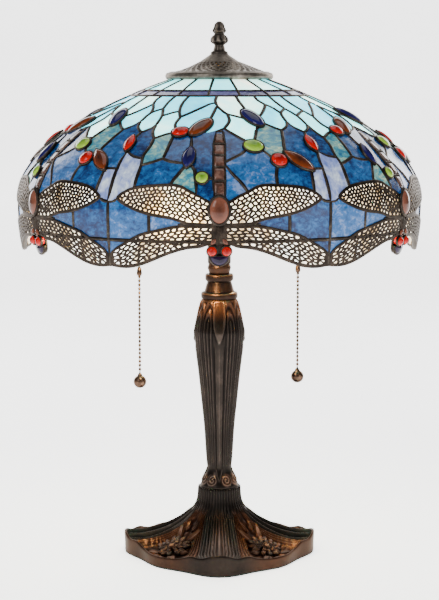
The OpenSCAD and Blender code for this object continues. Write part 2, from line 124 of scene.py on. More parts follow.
def lathe(profile, steps, closed=False):
    """Turns a profile of (r, z) round the Z axis."""
    verts = [polar(r, math.tau * j / steps, z) for j in range(steps) for r, z in profile]
    return verts, grid_faces(steps, len(profile), wrap_rows=True, wrap_cols=closed)


def dense(profile, step):
    """Adds points along a profile so that none are farther apart than step."""
    out = [profile[0]]
    for p, q in zip(profile, profile[1:]):
        n = max(1, math.ceil(math.dist(p, q) / step))
        out += [tuple(a + (b - a) * i / n for a, b in zip(p, q)) for i in range(1, n + 1)]
    return out


def smooth_line(points, rounds=1, closed=False):
    """Rounds the corners of a line by cutting them."""
    for _ in range(rounds):
        out = [] if closed else [points[0]]
        for p, q in zip(points, points[1:] + (points[:1] if closed else [])):
            out.append(tuple(a * 0.75 + b * 0.25 for a, b in zip(p, q)))
            out.append(tuple(a * 0.25 + b * 0.75 for a, b in zip(p, q)))
        points = out if closed else out + [points[-1]]
    return points


CORNER, LEAN = 48, 2.6


def spline(points, cuts=5):
    """A smooth line through every point; a turn sharper than CORNER degrees stays a corner."""
    def mean(a, b, c, d, t):
        return 0.5 * (2 * b + (c - a) * t + (2 * a - 5 * b + 4 * c - d) * t * t + (3 * b - a - 3 * c + d)
                      * t ** 3)

    def at(four, t):
        return tuple(mean(*values, t) for values in zip(*four))

    runs, run = [], [points[0]]
    for before, here, after in zip(points, points[1:], points[2:]):
        run.append(here)
        u = [b - a for a, b in zip(before, here)]
        v = [b - a for a, b in zip(here, after)]
        u[0], v[0] = u[0] * LEAN, v[0] * LEAN
        turn = abs(math.degrees(math.atan2(u[0] * v[1] - u[1] * v[0], u[0] * v[0] + u[1] * v[1])))
        if turn > CORNER:
            runs.append(run)
            run = [here]
    runs.append(run + [points[-1]])
    out = [points[0]]
    for run in runs:
        ends = [run[0]] + run + [run[-1]]
        for i in range(len(run) - 1):
            out += [at(ends[i:i + 4], t / cuts) for t in range(1, cuts + 1)]
    return out


# --- Materials ----------------------------------------------------------------------------------------

class Paint:
    """Builds one node material around a Principled shader."""

    def __init__(self, name, roughness=0.5, metallic=0.0, **sockets):
        self.material = bpy.data.materials.new(name)
        self.material.use_nodes = True
        self.tree = self.material.node_tree
        self.tree.nodes.clear()
        self.shader = self.node("ShaderNodeBsdfPrincipled")
        self.node("ShaderNodeOutputMaterial", {"Surface": self.shader.outputs["BSDF"]})
        self.shader.inputs["Roughness"].default_value = roughness
        self.shader.inputs["Metallic"].default_value = metallic
        for key, value in sockets.items():
            self.shader.inputs[key.replace("_", " ")].default_value = value
        self.coords = self.node("ShaderNodeTexCoord").outputs["Object"]

    def node(self, kind, sockets=None, **settings):
        """A new node: each of its sockets named here gets a constant or a link."""
        made = self.tree.nodes.new(kind)
        for key, value in settings.items():
            setattr(made, key, value)
        for key, source in (sockets or {}).items():
            if isinstance(source, bpy.types.NodeSocket):
                self.tree.links.new(source, made.inputs[key])
            else:
                made.inputs[key].default_value = source
        return made

    def link(self, source, key):
        self.tree.links.new(source, self.shader.inputs[key])

    def stretch(self, x, y, z):
        return self.node("ShaderNodeMapping", {"Scale": (x, y, z), "Vector": self.coords}).outputs["Vector"]

    def noise(self, scale, detail, roughness=0.55, distortion=0.0, coords=None):
        sockets = {"Scale": scale, "Detail": detail, "Roughness": roughness, "Distortion": distortion}
        return self.node("ShaderNodeTexNoise", {**sockets, "Vector": coords or self.coords}).outputs["Fac"]

    def value(self, name):
        return self.node("ShaderNodeAttribute", attribute_name=name).outputs["Fac"]

    def math(self, operation, a, b, clamped=False):
        return self.node("ShaderNodeMath", {0: a, 1: b}, operation=operation, use_clamp=clamped).outputs[0]

    def ramp(self, factor, stops):
        made = self.node("ShaderNodeValToRGB", {"Fac": factor})
        elements = made.color_ramp.elements
        while len(elements) < len(stops):
            elements.new(0.5)
        for element, (place, colour) in zip(elements, stops):
            element.position = place
            element.color = (*colour, 1)
        return made.outputs["Color"]

    def mix(self, factor, a, b):
        return self.node("ShaderNodeMix", {0: factor, 6: a, 7: b}, data_type="RGBA").outputs[2]

    def span(self, factor, low, high):
        """Maps a factor of 0 to 1 to the range from low to high."""
        return self.node("ShaderNodeMapRange", {"To Min": low, "To Max": high, "Value": factor}).outputs[0]

    def colour(self, source):
        self.link(source, "Base Color")

    def rough(self, factor, low, high):
        self.link(self.span(factor, low, high), "Roughness")

    def bump(self, height, strength, distance):
        made = self.node("ShaderNodeBump", {"Strength": strength, "Distance": distance, "Height": height})
        self.link(made.outputs["Normal"], "Normal")

    def glow(self, source, strength):
        self.link(source, "Emission Color")
        self.shader.inputs["Emission Strength"].default_value = strength


# Metal seen at a grazing angle stays dark, as under its patina
EDGE_TINT = (0.60, 0.57, 0.54, 1)


def metal(name, dark, mid, light, rough, metallic, scale, relief=None, bump=0.25, copper=None):
    """Patinated metal: dark in its hollows and rubbed bright on its edges where it has relief.

    Copper is a point value too: it shows where the bare orange metal comes through the patina."""
    p = Paint(name, metallic=metallic, Specular_Tint=EDGE_TINT)
    cloud = p.noise(scale, 5, 0.6)
    fine = p.noise(scale * 9, 3, 0.6)
    factor = p.math("ADD", p.math("MULTIPLY", cloud, 0.7), p.math("MULTIPLY", fine, 0.3))
    if relief:
        factor = p.math("ADD", p.math("MULTIPLY", factor, 0.45),
                        p.math("MULTIPLY", p.value(relief), 0.62), True)
    colours = p.ramp(factor, [(0.3, dark), (0.52, mid), (0.8, light)])
    if copper:
        worn = p.ramp(factor, [(0.25, (0.025, 0.008, 0.004)), (0.5, (0.17, 0.055, 0.018)),
                               (0.8, (0.45, 0.19, 0.08))])
        colours = p.mix(p.math("MULTIPLY", p.value(copper), p.span(cloud, 0.55, 1.2), True), colours, worn)
    p.colour(colours)
    p.rough(cloud, *rough)
    p.bump(fine, bump, 0.0003)
    return p.material


def streaky(name, stops, scale, glow, wisp=1.0, weave=0.4, pane=0.35, stretch=(1, 1, 0.45),
            rough=(0.12, 0.25), **sockets):
    """Opalescent glass: wisps of colour, a fine weave, one tone for each pane, and a painted glow for light
    from behind.
    """
    p = Paint(name, **{"IOR": 1.38, **sockets})
    where = p.stretch(*stretch)
    wisps = p.noise(scale, 4, 0.6, 1.6, where)
    parts = [(wisps, wisp), (p.noise(scale * 4, 3, 0.65, 0.8, where), weave), (p.value("pane"), pane)]
    factor = 0.5
    for source, weight in parts:
        swing = p.math("MULTIPLY", p.math("SUBTRACT", source, 0.5), weight)
        factor = p.math("ADD", swing, factor, source is parts[-1][0])
    colours = p.ramp(factor, stops)
    p.colour(colours)
    # Painted light: the glass emits its own colours in place of light shining through it from behind.
    p.glow(colours, glow)
    p.rough(wisps, *rough)
    ripple = p.math("ADD", p.noise(38, 2, 0.5), p.math("MULTIPLY", p.noise(190, 2, 0.5), 0.25))
    p.bump(ripple, 0.35, 0.0012)
    return p.material


def jewel(name, deep, bright, glow):
    """Pressed clear-coloured glass, with painted light: deep in the middle, brighter at its rim, and a
    glow.
    """
    p = Paint(name, roughness=0.05, Coat_Weight=0.1, Coat_Roughness=0.02, IOR=1.27)
    swirl = p.noise(120, 3, 0.5, 2.0)
    # Painted light: the colour brightens towards the rim, standing in for light seen through the glass.
    factor = p.math("ADD", p.math("MULTIPLY", p.value("rim"), 0.75), p.math("MULTIPLY", swirl, 0.35), True)
    between = tuple((a + b) / 2 for a, b in zip(deep, bright))
    colours = p.ramp(factor, [(0.1, deep), (0.55, between), (0.95, bright)])
    p.colour(colours)
    # Painted glow: the glass emits its own colour.
    p.glow(colours, glow)
    p.bump(swirl, 0.1, 0.0004)
    return p.material


M = {}
# The glow given to each glass below is painted light: an emission of the glass's own colour.
M["aqua"] = streaky("opal_aqua", [(0.18, (0.04, 0.44, 0.62)), (0.42, (0.12, 0.68, 0.82)),
                                  (0.66, (0.28, 0.88, 0.88)), (0.88, (0.66, 1.0, 0.86)),
                                  (1.0, (1.0, 1.0, 0.84))], scale=16, glow=2.6, wisp=0.9, weave=0.25,
                    pane=0.75)
M["lavender"] = streaky("opal_lavender", [(0.2, (0.022, 0.022, 0.11)), (0.5, (0.060, 0.060, 0.21)),
                                          (0.85, (0.20, 0.21, 0.42))], scale=36, glow=0.15, weave=0.6)
M["cobalt"] = streaky("opal_cobalt", [(0.08, (0.001, 0.010, 0.055)), (0.3, (0.002, 0.034, 0.13)),
                                      (0.5, (0.007, 0.075, 0.22)), (0.68, (0.024, 0.10, 0.28)),
                                      (0.9, (0.13, 0.20, 0.38))], scale=48, glow=0.2,
                      stretch=(1, 1, 1.25), wisp=1.2, weave=1.3, pane=0.5)
M["brown"] = streaky("ripple_brown", [(0.2, (0.022, 0.010, 0.007)), (0.5, (0.080, 0.034, 0.023)),
                                      (0.85, (0.20, 0.11, 0.08))], scale=90, glow=0.04, stretch=(1, 1, 1),
                     weave=0.8)
M["pearl"] = streaky("pearl_glass", [(0.1, (0.16, 0.095, 0.045)), (0.34, (0.55, 0.42, 0.26)),
                                     (0.52, (0.95, 0.86, 0.70)), (0.75, (1.0, 0.99, 0.94))], scale=34,
                     glow=1.5, wisp=1.7, rough=(0.25, 0.4), Transmission_Weight=0.75)
M["teal"] = streaky("opal_teal", [(0.1, (0.008, 0.085, 0.18)), (0.4, (0.035, 0.20, 0.27)),
                                  (0.62, (0.15, 0.33, 0.29)), (0.9, (0.50, 0.58, 0.34))], scale=40,
                    glow=0.2, stretch=(1, 1, 1.8), wisp=1.5, weave=1.2, pane=0.2)
M["lilac"] = streaky("opal_lilac", [(0.1, (0.08, 0.12, 0.34)), (0.38, (0.17, 0.22, 0.44)),
                                    (0.62, (0.36, 0.42, 0.56)), (0.9, (0.66, 0.76, 0.70))], scale=30,
                     glow=0.35, stretch=(1.8, 1.8, 0.6), wisp=1.4, weave=0.8, pane=0.3)
M["thorax"] = jewel("glass_thorax", (0.030, 0.010, 0.006), (0.22, 0.075, 0.045), 0.03)
M["purple"] = jewel("glass_purple", (0.003, 0.0015, 0.008), (0.022, 0.008, 0.045), 0.02)
M["red"] = jewel("glass_red", (0.10, 0.0003, 0.0003), (0.62, 0.004, 0.002), 0.16)
M["amber"] = jewel("glass_amber", (0.009, 0.0014, 0.0007), (0.19, 0.036, 0.007), 0.04)
M["blue"] = jewel("glass_blue", (0.0004, 0.0002, 0.007), (0.012, 0.010, 0.11), 0.02)
M["green"] = jewel("glass_green", (0.010, 0.075, 0.001), (0.38, 0.60, 0.05), 0.14)
M["lead"] = metal("solder_dark", (0.008, 0.006, 0.005), (0.026, 0.020, 0.016), (0.15, 0.125, 0.10),
                  (0.28, 0.45), 0.8, 90)
M["filigree"] = metal("wing_metal", (0.007, 0.005, 0.004), (0.022, 0.016, 0.012), (0.085, 0.06, 0.044),
                      (0.3, 0.45), 0.8, 110)
M["bronze"] = metal("cast_bronze", (0.005, 0.0038, 0.0033), (0.020, 0.0155, 0.013), (0.115, 0.085, 0.069),
                    (0.24, 0.4), 0.85, 35, "relief", copper="copper")
M["cap"] = metal("cap_bronze", (0.024, 0.020, 0.016), (0.11, 0.095, 0.08), (0.36, 0.315, 0.27),
                 (0.26, 0.4), 0.85, 45)
M["finial"] = metal("finial_bronze", (0.010, 0.008, 0.007), (0.040, 0.033, 0.028), (0.17, 0.14, 0.115),
                    (0.24, 0.38), 0.85, 90, "relief")
M["steel"] = metal("bare_steel", (0.16, 0.15, 0.14), (0.33, 0.32, 0.31), (0.55, 0.54, 0.52), (0.3, 0.45),
                   1.0, 70)
M["brass"] = metal("aged_brass", (0.16, 0.095, 0.03), (0.36, 0.23, 0.085), (0.62, 0.44, 0.2), (0.25, 0.4),
                   1.0, 60)
M["plastic"] = metal("black_phenolic", (0.006, 0.006, 0.006), (0.014, 0.013, 0.012), (0.035, 0.032, 0.03),
                     (0.35, 0.5), 0.0, 150)
M["porcelain"] = metal("contact_plate", (0.45, 0.42, 0.36), (0.62, 0.59, 0.52), (0.78, 0.75, 0.68),
                       (0.25, 0.4), 0.0, 50)
M["felt"] = metal("dark_felt", (0.006, 0.010, 0.008), (0.012, 0.018, 0.014), (0.03, 0.04, 0.034),
                  (0.9, 1.0), 0.0, 400, bump=0.9)
M["chain"] = metal("chain_bronze", (0.018, 0.011, 0.008), (0.065, 0.038, 0.026), (0.30, 0.17, 0.10),
                   (0.18, 0.32), 0.9, 120)
M["nickel"] = metal("lamp_cap_metal", (0.4, 0.39, 0.37), (0.6, 0.59, 0.57), (0.78, 0.77, 0.75),
                    (0.2, 0.35), 1.0, 80)


def bulb_paint():
    p = Paint("lit_bulb", roughness=0.3)
    cloud = p.noise(30, 2, 0.5)
    warm = p.ramp(cloud, [(0.3, (1.0, 0.72, 0.34)), (0.7, (1.0, 0.80, 0.46))])
    p.colour(warm)
    p.glow(warm, 120.0)
    return p.material


M["bulb"] = bulb_paint()

# --- The shade's surface: s runs down the profile, d goes inwards from the lead's crest, phi from the front

SHADE_R, BELLY_Z = 203, 365
CAP_R, CAP_Z = 54, 483
SKIRT_R, SKIRT_DROP = 250, 56


def profile_point(u):
    """The outside of the shade: u is 0 at the cap's edge, 1 at the belly and 2 near the rim."""
    if u <= 1:
        a, b, c, d = (1 - u) ** 3, 3 * (1 - u) ** 2 * u, 3 * (1 - u) * u * u, u ** 3
        return (a * CAP_R + b * (CAP_R + 75) + (c + d) * SHADE_R,
                a * CAP_Z + b * (CAP_Z - 27) + c * (BELLY_Z + 51) + d * BELLY_Z)
    t = (u - 1) * math.asin(SKIRT_DROP / SKIRT_R)
    return SHADE_R - SKIRT_R + SKIRT_R * math.cos(t), BELLY_Z - SKIRT_R * math.sin(t)


FINE = 800
PROFILE = [profile_point(-0.1 + 2.1 * i / FINE) for i in range(FINE + 1)]
RUN = [0.0]
for p, q in zip(PROFILE, PROFILE[1:]):
    RUN.append(RUN[-1] + math.dist(p, q))
START = min(range(FINE), key=lambda i: math.dist(PROFILE[i], (CAP_R, CAP_Z)))
RUN = [run - RUN[START] for run in RUN]


def on_profile(s):
    """(r, z) of the profile at the run s."""
    i = max(1, min(FINE, bisect.bisect_left(RUN, s)))
    f = (s - RUN[i - 1]) / (RUN[i] - RUN[i - 1])
    (r0, z0), (r1, z1) = PROFILE[i - 1], PROFILE[i]
    return r0 + (r1 - r0) * f, z0 + (z1 - z0) * f


def section(s, d):
    """(r, z) at the run s, d millimetres inside the profile."""
    (r0, z0), (r1, z1) = on_profile(s - 1), on_profile(s + 1)
    length = math.hypot(r1 - r0, z1 - z0)
    r, z = on_profile(s)
    return r + d * (z1 - z0) / length, z - d * (r1 - r0) / length


def on_shade(phi, s, d):
    """The point of the shade at phi and s, d millimetres deep."""
    r, z = section(s, d)
    a = math.radians(phi)
    return r * math.sin(a), -r * math.cos(a), z


def lookup(x, table):
    """Reads a table of (x, y) with straight lines between its points."""
    if x <= table[0][0]:
        return table[0][1]
    for (x0, y0), (x1, y1) in zip(table, table[1:]):
        if x <= x1:
            return y0 + (y1 - y0) * (x - x0) / (x1 - x0)
    return table[-1][1]


CROWN_TOP, CROWN_END, BAND_END = -7.5, 25, 38

# Edges of the upper and lower wings and of the rim over half a sector, as (phi, s)
WING_TOP = [(1.4, 191), (2.6, 189), (5, 183.8), (7.7, 179.2), (9.8, 174.8), (12.3, 173), (15.9, 173.6),
            (19.7, 174.8), (22.8, 176.6), (25.2, 180.4), (26.9, 184.6), (27.3, 186.6)]
WING_MID = [(1.4, 209.5), (2.6, 210), (8, 209), (10, 206.5), (12.2, 204.2), (14.8, 202.8), (17.8, 201.2),
            (21.3, 198), (24.1, 194), (26.6, 189.4), (27.3, 187)]
HIND_TOP = [(1.4, 211.5), (2.6, 211), (9.8, 210.8), (13, 212.8), (17, 216), (20.2, 218.8), (22.5, 222.6),
            (25.2, 228), (28, 233.6), (29.6, 238.4)]
HIND_LOW = [(1.4, 224), (2.6, 226), (5, 229), (8.7, 230.6), (11.7, 233.8), (14.5, 237.4), (17.7, 242.2),
            (21, 246.6), (24, 249.2), (27, 250), (29.6, 248.6)]
RIM_LINE = [(0, 227), (3, 228.6), (5, 231), (8.7, 232.6), (11.7, 235.8), (14.5, 239.4), (17.7, 244.2),
            (21, 248.6), (24, 251.2), (27, 251.8), (30, 250.6)]

# The joints between the abdomen's segments, as s
BODY_CUTS = [101, 108.5, 125, 140, 154, 169, 184]

# The leading of one sector, as lines of (phi, s)
LEADS = [[(-28, 38), (-28.3, 52), (-27.5, 66)], [(-27.5, 66), (-25, 80), (-24.6, 96)],
         [(-27.5, 66), (-31.8, 75), (-32.7, 91)], [(-24.6, 96), (-25.6, 102), (-28.5, 108.5)],
         [(-32.7, 91), (-31.6, 100), (-28.5, 108.5)], [(-28.5, 108.5), (-29.4, 117)], [(-19, 38),
                                                                                       (-19.6, 52),
                                                                                       (-18.6, 68),
                                                                                       (-16.4, 82)],
         [(-25, 80), (-21.5, 74.5), (-18.4, 71)], [(-1.4, 38), (-2.2, 48), (-1.1, 60)], [(-16.4, 82),
                                                                                         (-8.5, 63.5),
                                                                                         (-4.3, 55.4),
                                                                                         (-1.5, 55)],
         [(10.1, 38), (10.7, 49), (11.9, 64), (12.0, 77)], [(21.8, 38), (21.9, 48), (23.8, 57),
                                                            (22.4, 63), (17.8, 78), (15.2, 82)],
         [(23.8, 57), (26.6, 65), (28.2, 75)], [(27.3, 91), (26, 98), (22.8, 105)],
         [(22.8, 105), (19, 97), (16.2, 89)], [(-24.6, 96), (-24, 107), (-22.2, 117.5)], [(-22.2, 117.5),
                                                                                          (-18.5, 111),
                                                                                          (-15.5, 108.5)],
         [(-16.4, 82), (-16.9, 95), (-15, 107)], [(-11.5, 107), (-9.2, 106)],
         [(-1.1, 60), (-2.4, 72), (-4.6, 95)], [(-8.5, 106), (-5, 110), (-1.8, 107.5), (1.8, 101.5)],
         [(-1.1, 60), (1, 68), (3.4, 75.8), (7, 80.4), (11.5, 86)], [(3.4, 75.8), (4, 88), (1.8, 101.5)],
         [(1.8, 101.5), (5, 110.5), (8.5, 120)], [(8.5, 120), (11.6, 118.6), (13.4, 103.4)],
         [(13.4, 103.4), (15.4, 94)], [(11.6, 118.6), (11, 125)], [(-22.2, 117.5), (-22.2, 129),
                                                                   (-23, 141), (-22.6, 152.5),
                                                                   (-22.8, 168), (-22.9, 181)],
         [(-15.4, 110), (-15.8, 119), (-16.1, 131.5), (-16.5, 144.4)], [(-22.6, 152.5), (-19.7, 149),
                                                                        (-16.5, 144.4), (-13.7, 148),
                                                                        (-9, 150)], [(-9.2, 151),
                                                                                     (-11, 161),
                                                                                     (-12.6, 170),
                                                                                     (-13.2, 177)],
         [(-9.8, 106), (-9.2, 112), (-8.9, 125), (-8.4, 137)], [(-8.9, 149), (-6.9, 157), (-6.5, 164),
                                                                (-6.1, 172), (-5.4, 190)],
         [(-3.4, 166), (-1.4, 166)], [(31.4, 136), (30.4, 146), (30.2, 155), (30.1, 165), (30.1, 190)],
         [(-29, 137), (-26, 142.6), (-22.9, 144.6)], [(26.2, 157), (30.3, 157)],
         [(26.4, 157), (26, 166), (25.4, 186)], [(22.8, 105), (21.7, 116.3), (20.4, 132), (20.6, 140)],
         [(1.4, 148.4), (6.5, 138.2), (8.4, 132)], [(1.4, 151.4), (3.7, 162), (6, 171.5), (8.6, 186)],
         [(12.2, 130), (15.8, 144)], [(16.8, 150), (15.6, 163), (15.4, 179)], [(18.6, 144.5), (22, 143)],
         [(26.9, 186.2), (28.6, 189.6), (31.4, 189.6), (33.1, 186.2)], [(30, 190), (30, 243)],
         [(18.2, 199), (18.3, 219)], [(-18.2, 199), (-18.3, 219)], [(9.3, 206), (9.3, 213)],
         [(-9.3, 206), (-9.3, 213)], [(29.2, 238.4), (30.8, 238.4)], ]

# Jewels: glass, outline, phi, s, length, width, turn from level, height
JEWELS = [
    ("red", "oval", -13.6, 108.8, 16, 13.6, 15, 3.6), ("red", "oval", 17.3, 147.3, 15, 15, 0, 4.0),
    ("red", "leaf", 30.4, 126.5, 24, 10.5, -86, 3.2), ("amber", "oval", -6.7, 101, 31, 15, 58, 3.8),
    ("amber", "leaf", 23.3, 148.5, 35, 13.5, -45, 3.2), ("blue", "oval", 13.4, 85, 32, 14.5, -67, 4.0),
    ("blue", "leaf", -8.8, 143.4, 27, 12, 86, 3.4), ("green", "oval", 10.6, 129.4, 18.5, 15.5, -15, 3.6),
    ("green", "oval", -4.6, 166.2, 11.5, 11.5, 0, 3.4),
]

# Half the abdomen's width as (s, phi), and the lower edge of the petals as (phi, s)
BODY_EDGE = [(105, 1.25), (125, 1.8), (140, 1.72), (154, 1.68), (169, 1.6), (184, 1.5)]
PETAL_EDGE = [(-30, 103.5), (-28.5, 108.5), (-24.6, 96), (-22.2, 117.5), (-17.5, 109.5), (-13, 106),
              (-9, 106), (-7.5, 109), (-5, 110), (-1.8, 107.5), (1.8, 101.5), (5, 110.5), (8.5, 120),
              (11.6, 118.6), (13.4, 103.4), (17, 91), (22.8, 105), (27.3, 91), (30, 102)]
LEAD_W = 3.4
PLANE = 3.3  # millimetres for one degree in the flat cartoon


def outline(kind, length, width, steps=28):
    """A flat oval, or a leaf made of two arcs that meet in points."""
    if kind == "oval":
        return [(length / 2 * math.cos(math.tau * i / steps), width / 2 * math.sin(math.tau * i / steps))
                for i in range(steps)]
    arc = (length * length + width * width) / (4 * width)
    half = math.asin(length / 2 / arc)
    angles = [half * (2 * i / (steps // 2) - 1) for i in range(steps // 2)]
    side = [(arc * math.sin(t), arc * math.cos(t) - arc + width / 2) for t in angles]
    return side + [(-x, -y) for x, y in side]


def turned(points, turn):
    c, s = math.cos(math.radians(turn)), math.sin(math.radians(turn))
    return [(x * c - y * s, x * s + y * c) for x, y in points]


def on_cartoon(phi, s, points):
    """A flat outline in millimetres, laid on the cartoon at (phi, s)."""
    r = on_profile(s)[0]
    return [(phi + math.degrees(x / r), s - y) for x, y in points]


def face_point(phi, s, x, y, out):
    """A point in the flat frame that touches the shade at (phi, s): x level, y up, out of the face."""
    (r0, z0), (r1, z1) = on_profile(s - 1), on_profile(s + 1)
    length = math.hypot(r1 - r0, z1 - z0)
    tr, tz = (r1 - r0) / length, (z1 - z0) / length
    r, z = on_profile(s)
    r, z = r - y * tr - out * tz, z - y * tz + out * tr
    a = math.radians(phi)
    return r * math.sin(a) + x * math.cos(a), -r * math.cos(a) + x * math.sin(a), z


def resample(line, step, closed=False):
    """Points of (phi, s) spaced evenly in millimetres."""
    out = []
    ends = line + line[:1] if closed else line
    for p, q in zip(ends, ends[1:]):
        n = max(1, round(math.hypot((q[0] - p[0]) * PLANE * 0.85, q[1] - p[1]) / step))
        out += [(p[0] + (q[0] - p[0]) * i / n, p[1] + (q[1] - p[1]) * i / n) for i in range(n)]
    return out if closed else out + [ends[-1]]


OVERRUN = 1.6


def stretched(line):
    """Carries both ends of a line a little past where it meets its neighbours."""
    def beyond(end, before):
        dx, dy = (end[0] - before[0]) * PLANE, end[1] - before[1]
        length = math.hypot(dx, dy)
        return end[0] + dx / length * OVERRUN / PLANE, end[1] + dy / length * OVERRUN
    return [beyond(line[0], line[1])] + line + [beyond(line[-1], line[-2])]


def in_wing(phi, s, margin):
    """Whether a point is in a wing, at least the margin inside its edges."""
    a = abs((phi + 30) % 60 - 30)
    if a > 30 or a < 1.4:
        return False
    upper = a < 27.3 and lookup(a, WING_TOP) + margin < s < lookup(a, WING_MID) - margin
    return upper or lookup(a, HIND_TOP) + margin < s < lookup(a, HIND_LOW) - margin


def mirrored(line):
    return [(-phi, s) for phi, s in line]


leads = [stretched(spline(line)) for line in LEADS]
wing_shapes = {"upper": spline(WING_TOP, 3) + spline(WING_MID, 3)[::-1],
               "lower": spline(HIND_TOP, 3) + spline(HIND_LOW, 3)[::-1]}
wing_outlines = [f(line) for line in wing_shapes.values() for f in (list, mirrored)]
body_sides = [[(side * w, s) for s, w in BODY_EDGE] + [(side * 1.4, 226)] for side in (-1, 1)]
body_bars = [[(-lookup(s, BODY_EDGE) - 0.3, s), (lookup(s, BODY_EDGE) + 0.3, s)] for s in BODY_CUTS[2:]]
jewel_outlines = [on_cartoon(phi, s, turned(outline(kind, length, width), turn))
                  for _, kind, phi, s, length, width, turn, _ in JEWELS]


def joined(faces, walls):
    """Groups faces that meet across edges that aren't walls."""
    by_edge = {}
    for f, face in enumerate(faces):
        for a, b in zip(face, face[1:] + face[:1]):
            by_edge.setdefault(tuple(sorted((a, b))), []).append(f)
    seen, groups = set(), []
    for first in range(len(faces)):
        if first in seen:
            continue
        seen.add(first)
        stack, group = [first], []
        while stack:
            f = stack.pop()
            group.append(tuple(faces[f]))
            edges = [tuple(sorted(pair)) for pair in zip(faces[f], faces[f][1:] + faces[f][:1])]
            fresh = [g for edge in edges if edge not in walls for g in by_edge[edge] if g not in seen]
            seen.update(fresh)
            stack += dict.fromkeys(fresh)
        groups.append(group)
    return groups


def cut_panes():
    """Cuts the flat cartoon into panes along every lead and gives each pane's triangles."""
    coords, edges = [], []

    def chain(points, closed=False):
        start = len(coords)
        coords.extend(Vector((phi * PLANE, s)) for phi, s in points)
        edges.extend((start + i, start + i + 1) for i in range(len(points) - 1))
        if closed:
            edges.append((start + len(points) - 1, start))

    spread = 47
    for s in (CROWN_TOP, CROWN_END, BAND_END):
        chain(resample([(-spread, s), (spread, s)], 5))
    for shift in (-60, 0, 60):
        def place(line):
            return [(phi + shift, s) for phi, s in line]
        for line in leads + body_sides + body_bars:
            chain(place(resample(line, 4)))
        for line in jewel_outlines:
            chain(place(line[::2]), True)
        for line in wing_outlines:
            chain(place(line[::2]), True)
        for sign in (-1, 1):
            chain(place(resample([(sign * a, s) for a, s in RIM_LINE], 5)))
        for phi in (-7, 13, 33):
            chain(resample([(phi + shift, CROWN_TOP - 1), (phi + shift, BAND_END + 1)], 5))
    rng = random.Random(3)
    for i in range(-14, 15):
        for j in range(1, 48):
            coords.append(Vector(((i * 3.1 + rng.uniform(-0.5, 0.5)) * PLANE, -7 + j * 5.4
                                  + rng.uniform(-0.8, 0.8))))
    verts, out_edges, faces, _, origin, _ = delaunay_2d_cdt(coords, edges, [], 0, 0.02)
    walls = {tuple(sorted(e)) for e, ids in zip(out_edges, origin) if ids}
    return [(v.x / PLANE, v.y) for v in verts], joined(faces, walls)


def inside(point, polygon):
    x, y = point
    hit = False
    for (x0, y0), (x1, y1) in zip(polygon, polygon[1:] + polygon[:1]):
        if (y0 > y) != (y1 > y) and x < x0 + (x1 - x0) * (y - y0) / (y1 - y0):
            hit = not hit
    return hit


def which_glass(phi, s):
    """The kind of glass at a place on the cartoon, or None where there is none."""
    a = abs(phi)
    if s < CROWN_TOP or s > lookup(a, RIM_LINE):
        return None
    if s < BAND_END:
        return "crown" if s < CROWN_END else "band"
    for line in jewel_outlines:
        if any(inside((phi + shift, s), line) for shift in (-60, 0, 60)):
            return None
    if s > 106.5 and (s > 184 and a < 2.4 or s < 185 and a < lookup(s, BODY_EDGE)):
        return None
    if in_wing(phi, s, 0):
        return "wing_upper" if a < 27.3 and s < lookup(a, WING_MID) else "wing_lower"
    if s > 190:
        return "skirt" if a > 9.3 and s < lookup(a, HIND_TOP) else None
    if s < lookup(phi, PETAL_EDGE):
        return "petal_upper" if s < 74 else "petal_lower"
    return "field"


# Hues of single panes, by where they are: teal ones, and lilac ones beside the wing tips
TINTS = [(-19.5, 135, "teal"), (17, 116, "teal"), (-8.8, 168, "teal"), (30, 172, "lilac"),
         (-26.5, 162, "lilac"), (27.8, 168, "lilac"), (-29, 172, "lilac")]

TINT_REACH = 9
GLASS_D, GLASS_T, FLATNESS = 1.5, 2.6, 0.45


def middle_of(pane, points):
    """(area, phi, s) of a pane's middle on the cartoon."""
    area = phi = s = 0
    for a, b, c in pane:
        (x0, y0), (x1, y1), (x2, y2) = points[a], points[b], points[c]
        t = abs((x1 - x0) * (y2 - y0) - (x2 - x0) * (y1 - y0)) / 2
        area, phi, s = area + t, phi + t * (x0 + x1 + x2) / 3, s + t * (y0 + y1 + y2) / 3
    return area, phi / max(area, 1e-9), s / max(area, 1e-9)


def hue(kind, phi, s):
    """The piece that a pane belongs to: a pane of the field may take a tint that is near."""
    def away(tint):
        return math.hypot((tint[0] - phi) * PLANE, tint[1] - s)

    tint = min(TINTS, key=away)
    return tint[2] if kind == "field" and away(tint) < TINT_REACH else kind


def pane_solid(pane, points, flatness):
    """(points, faces) of a pane: 0 follows the shade's curve, and 1 is a flat piece."""
    used = sorted({i for t in pane for i in t})
    index = {v: i for i, v in enumerate(used)}
    pane = [tuple(index[v] for v in t) for t in pane]
    outer = [Vector(on_shade(*points[v], GLASS_D)) for v in used]
    centre = sum(outer, Vector()) / len(outer)
    normal = sum(((outer[j] - outer[i]).cross(outer[k] - outer[i]) for i, j, k in pane), Vector())
    normal.normalize()
    if normal.dot(Vector((centre.x, centre.y, 60))) < 0:
        normal.negate()
    flat = [point - normal * (point - centre).dot(normal) * flatness for point in outer]
    deep = [Vector(on_shade(*points[v], GLASS_D + GLASS_T)) for v in used]
    inner = [p + (q - o) for p, q, o in zip(flat, deep, outer)]
    n = len(used)
    faces = []
    rim = {}
    for i, j, k in pane:
        if (flat[j] - flat[i]).cross(flat[k] - flat[i]).dot(normal) < 0:
            j, k = k, j
        faces += [(i, j, k), (n + i, n + k, n + j)]
        for p, q in ((i, j), (j, k), (k, i)):
            if (q, p) in rim:
                del rim[(q, p)]
            else:
                rim[(p, q)] = True
    return flat + inner, faces + [(q, p, n + p, n + q) for p, q in rim]


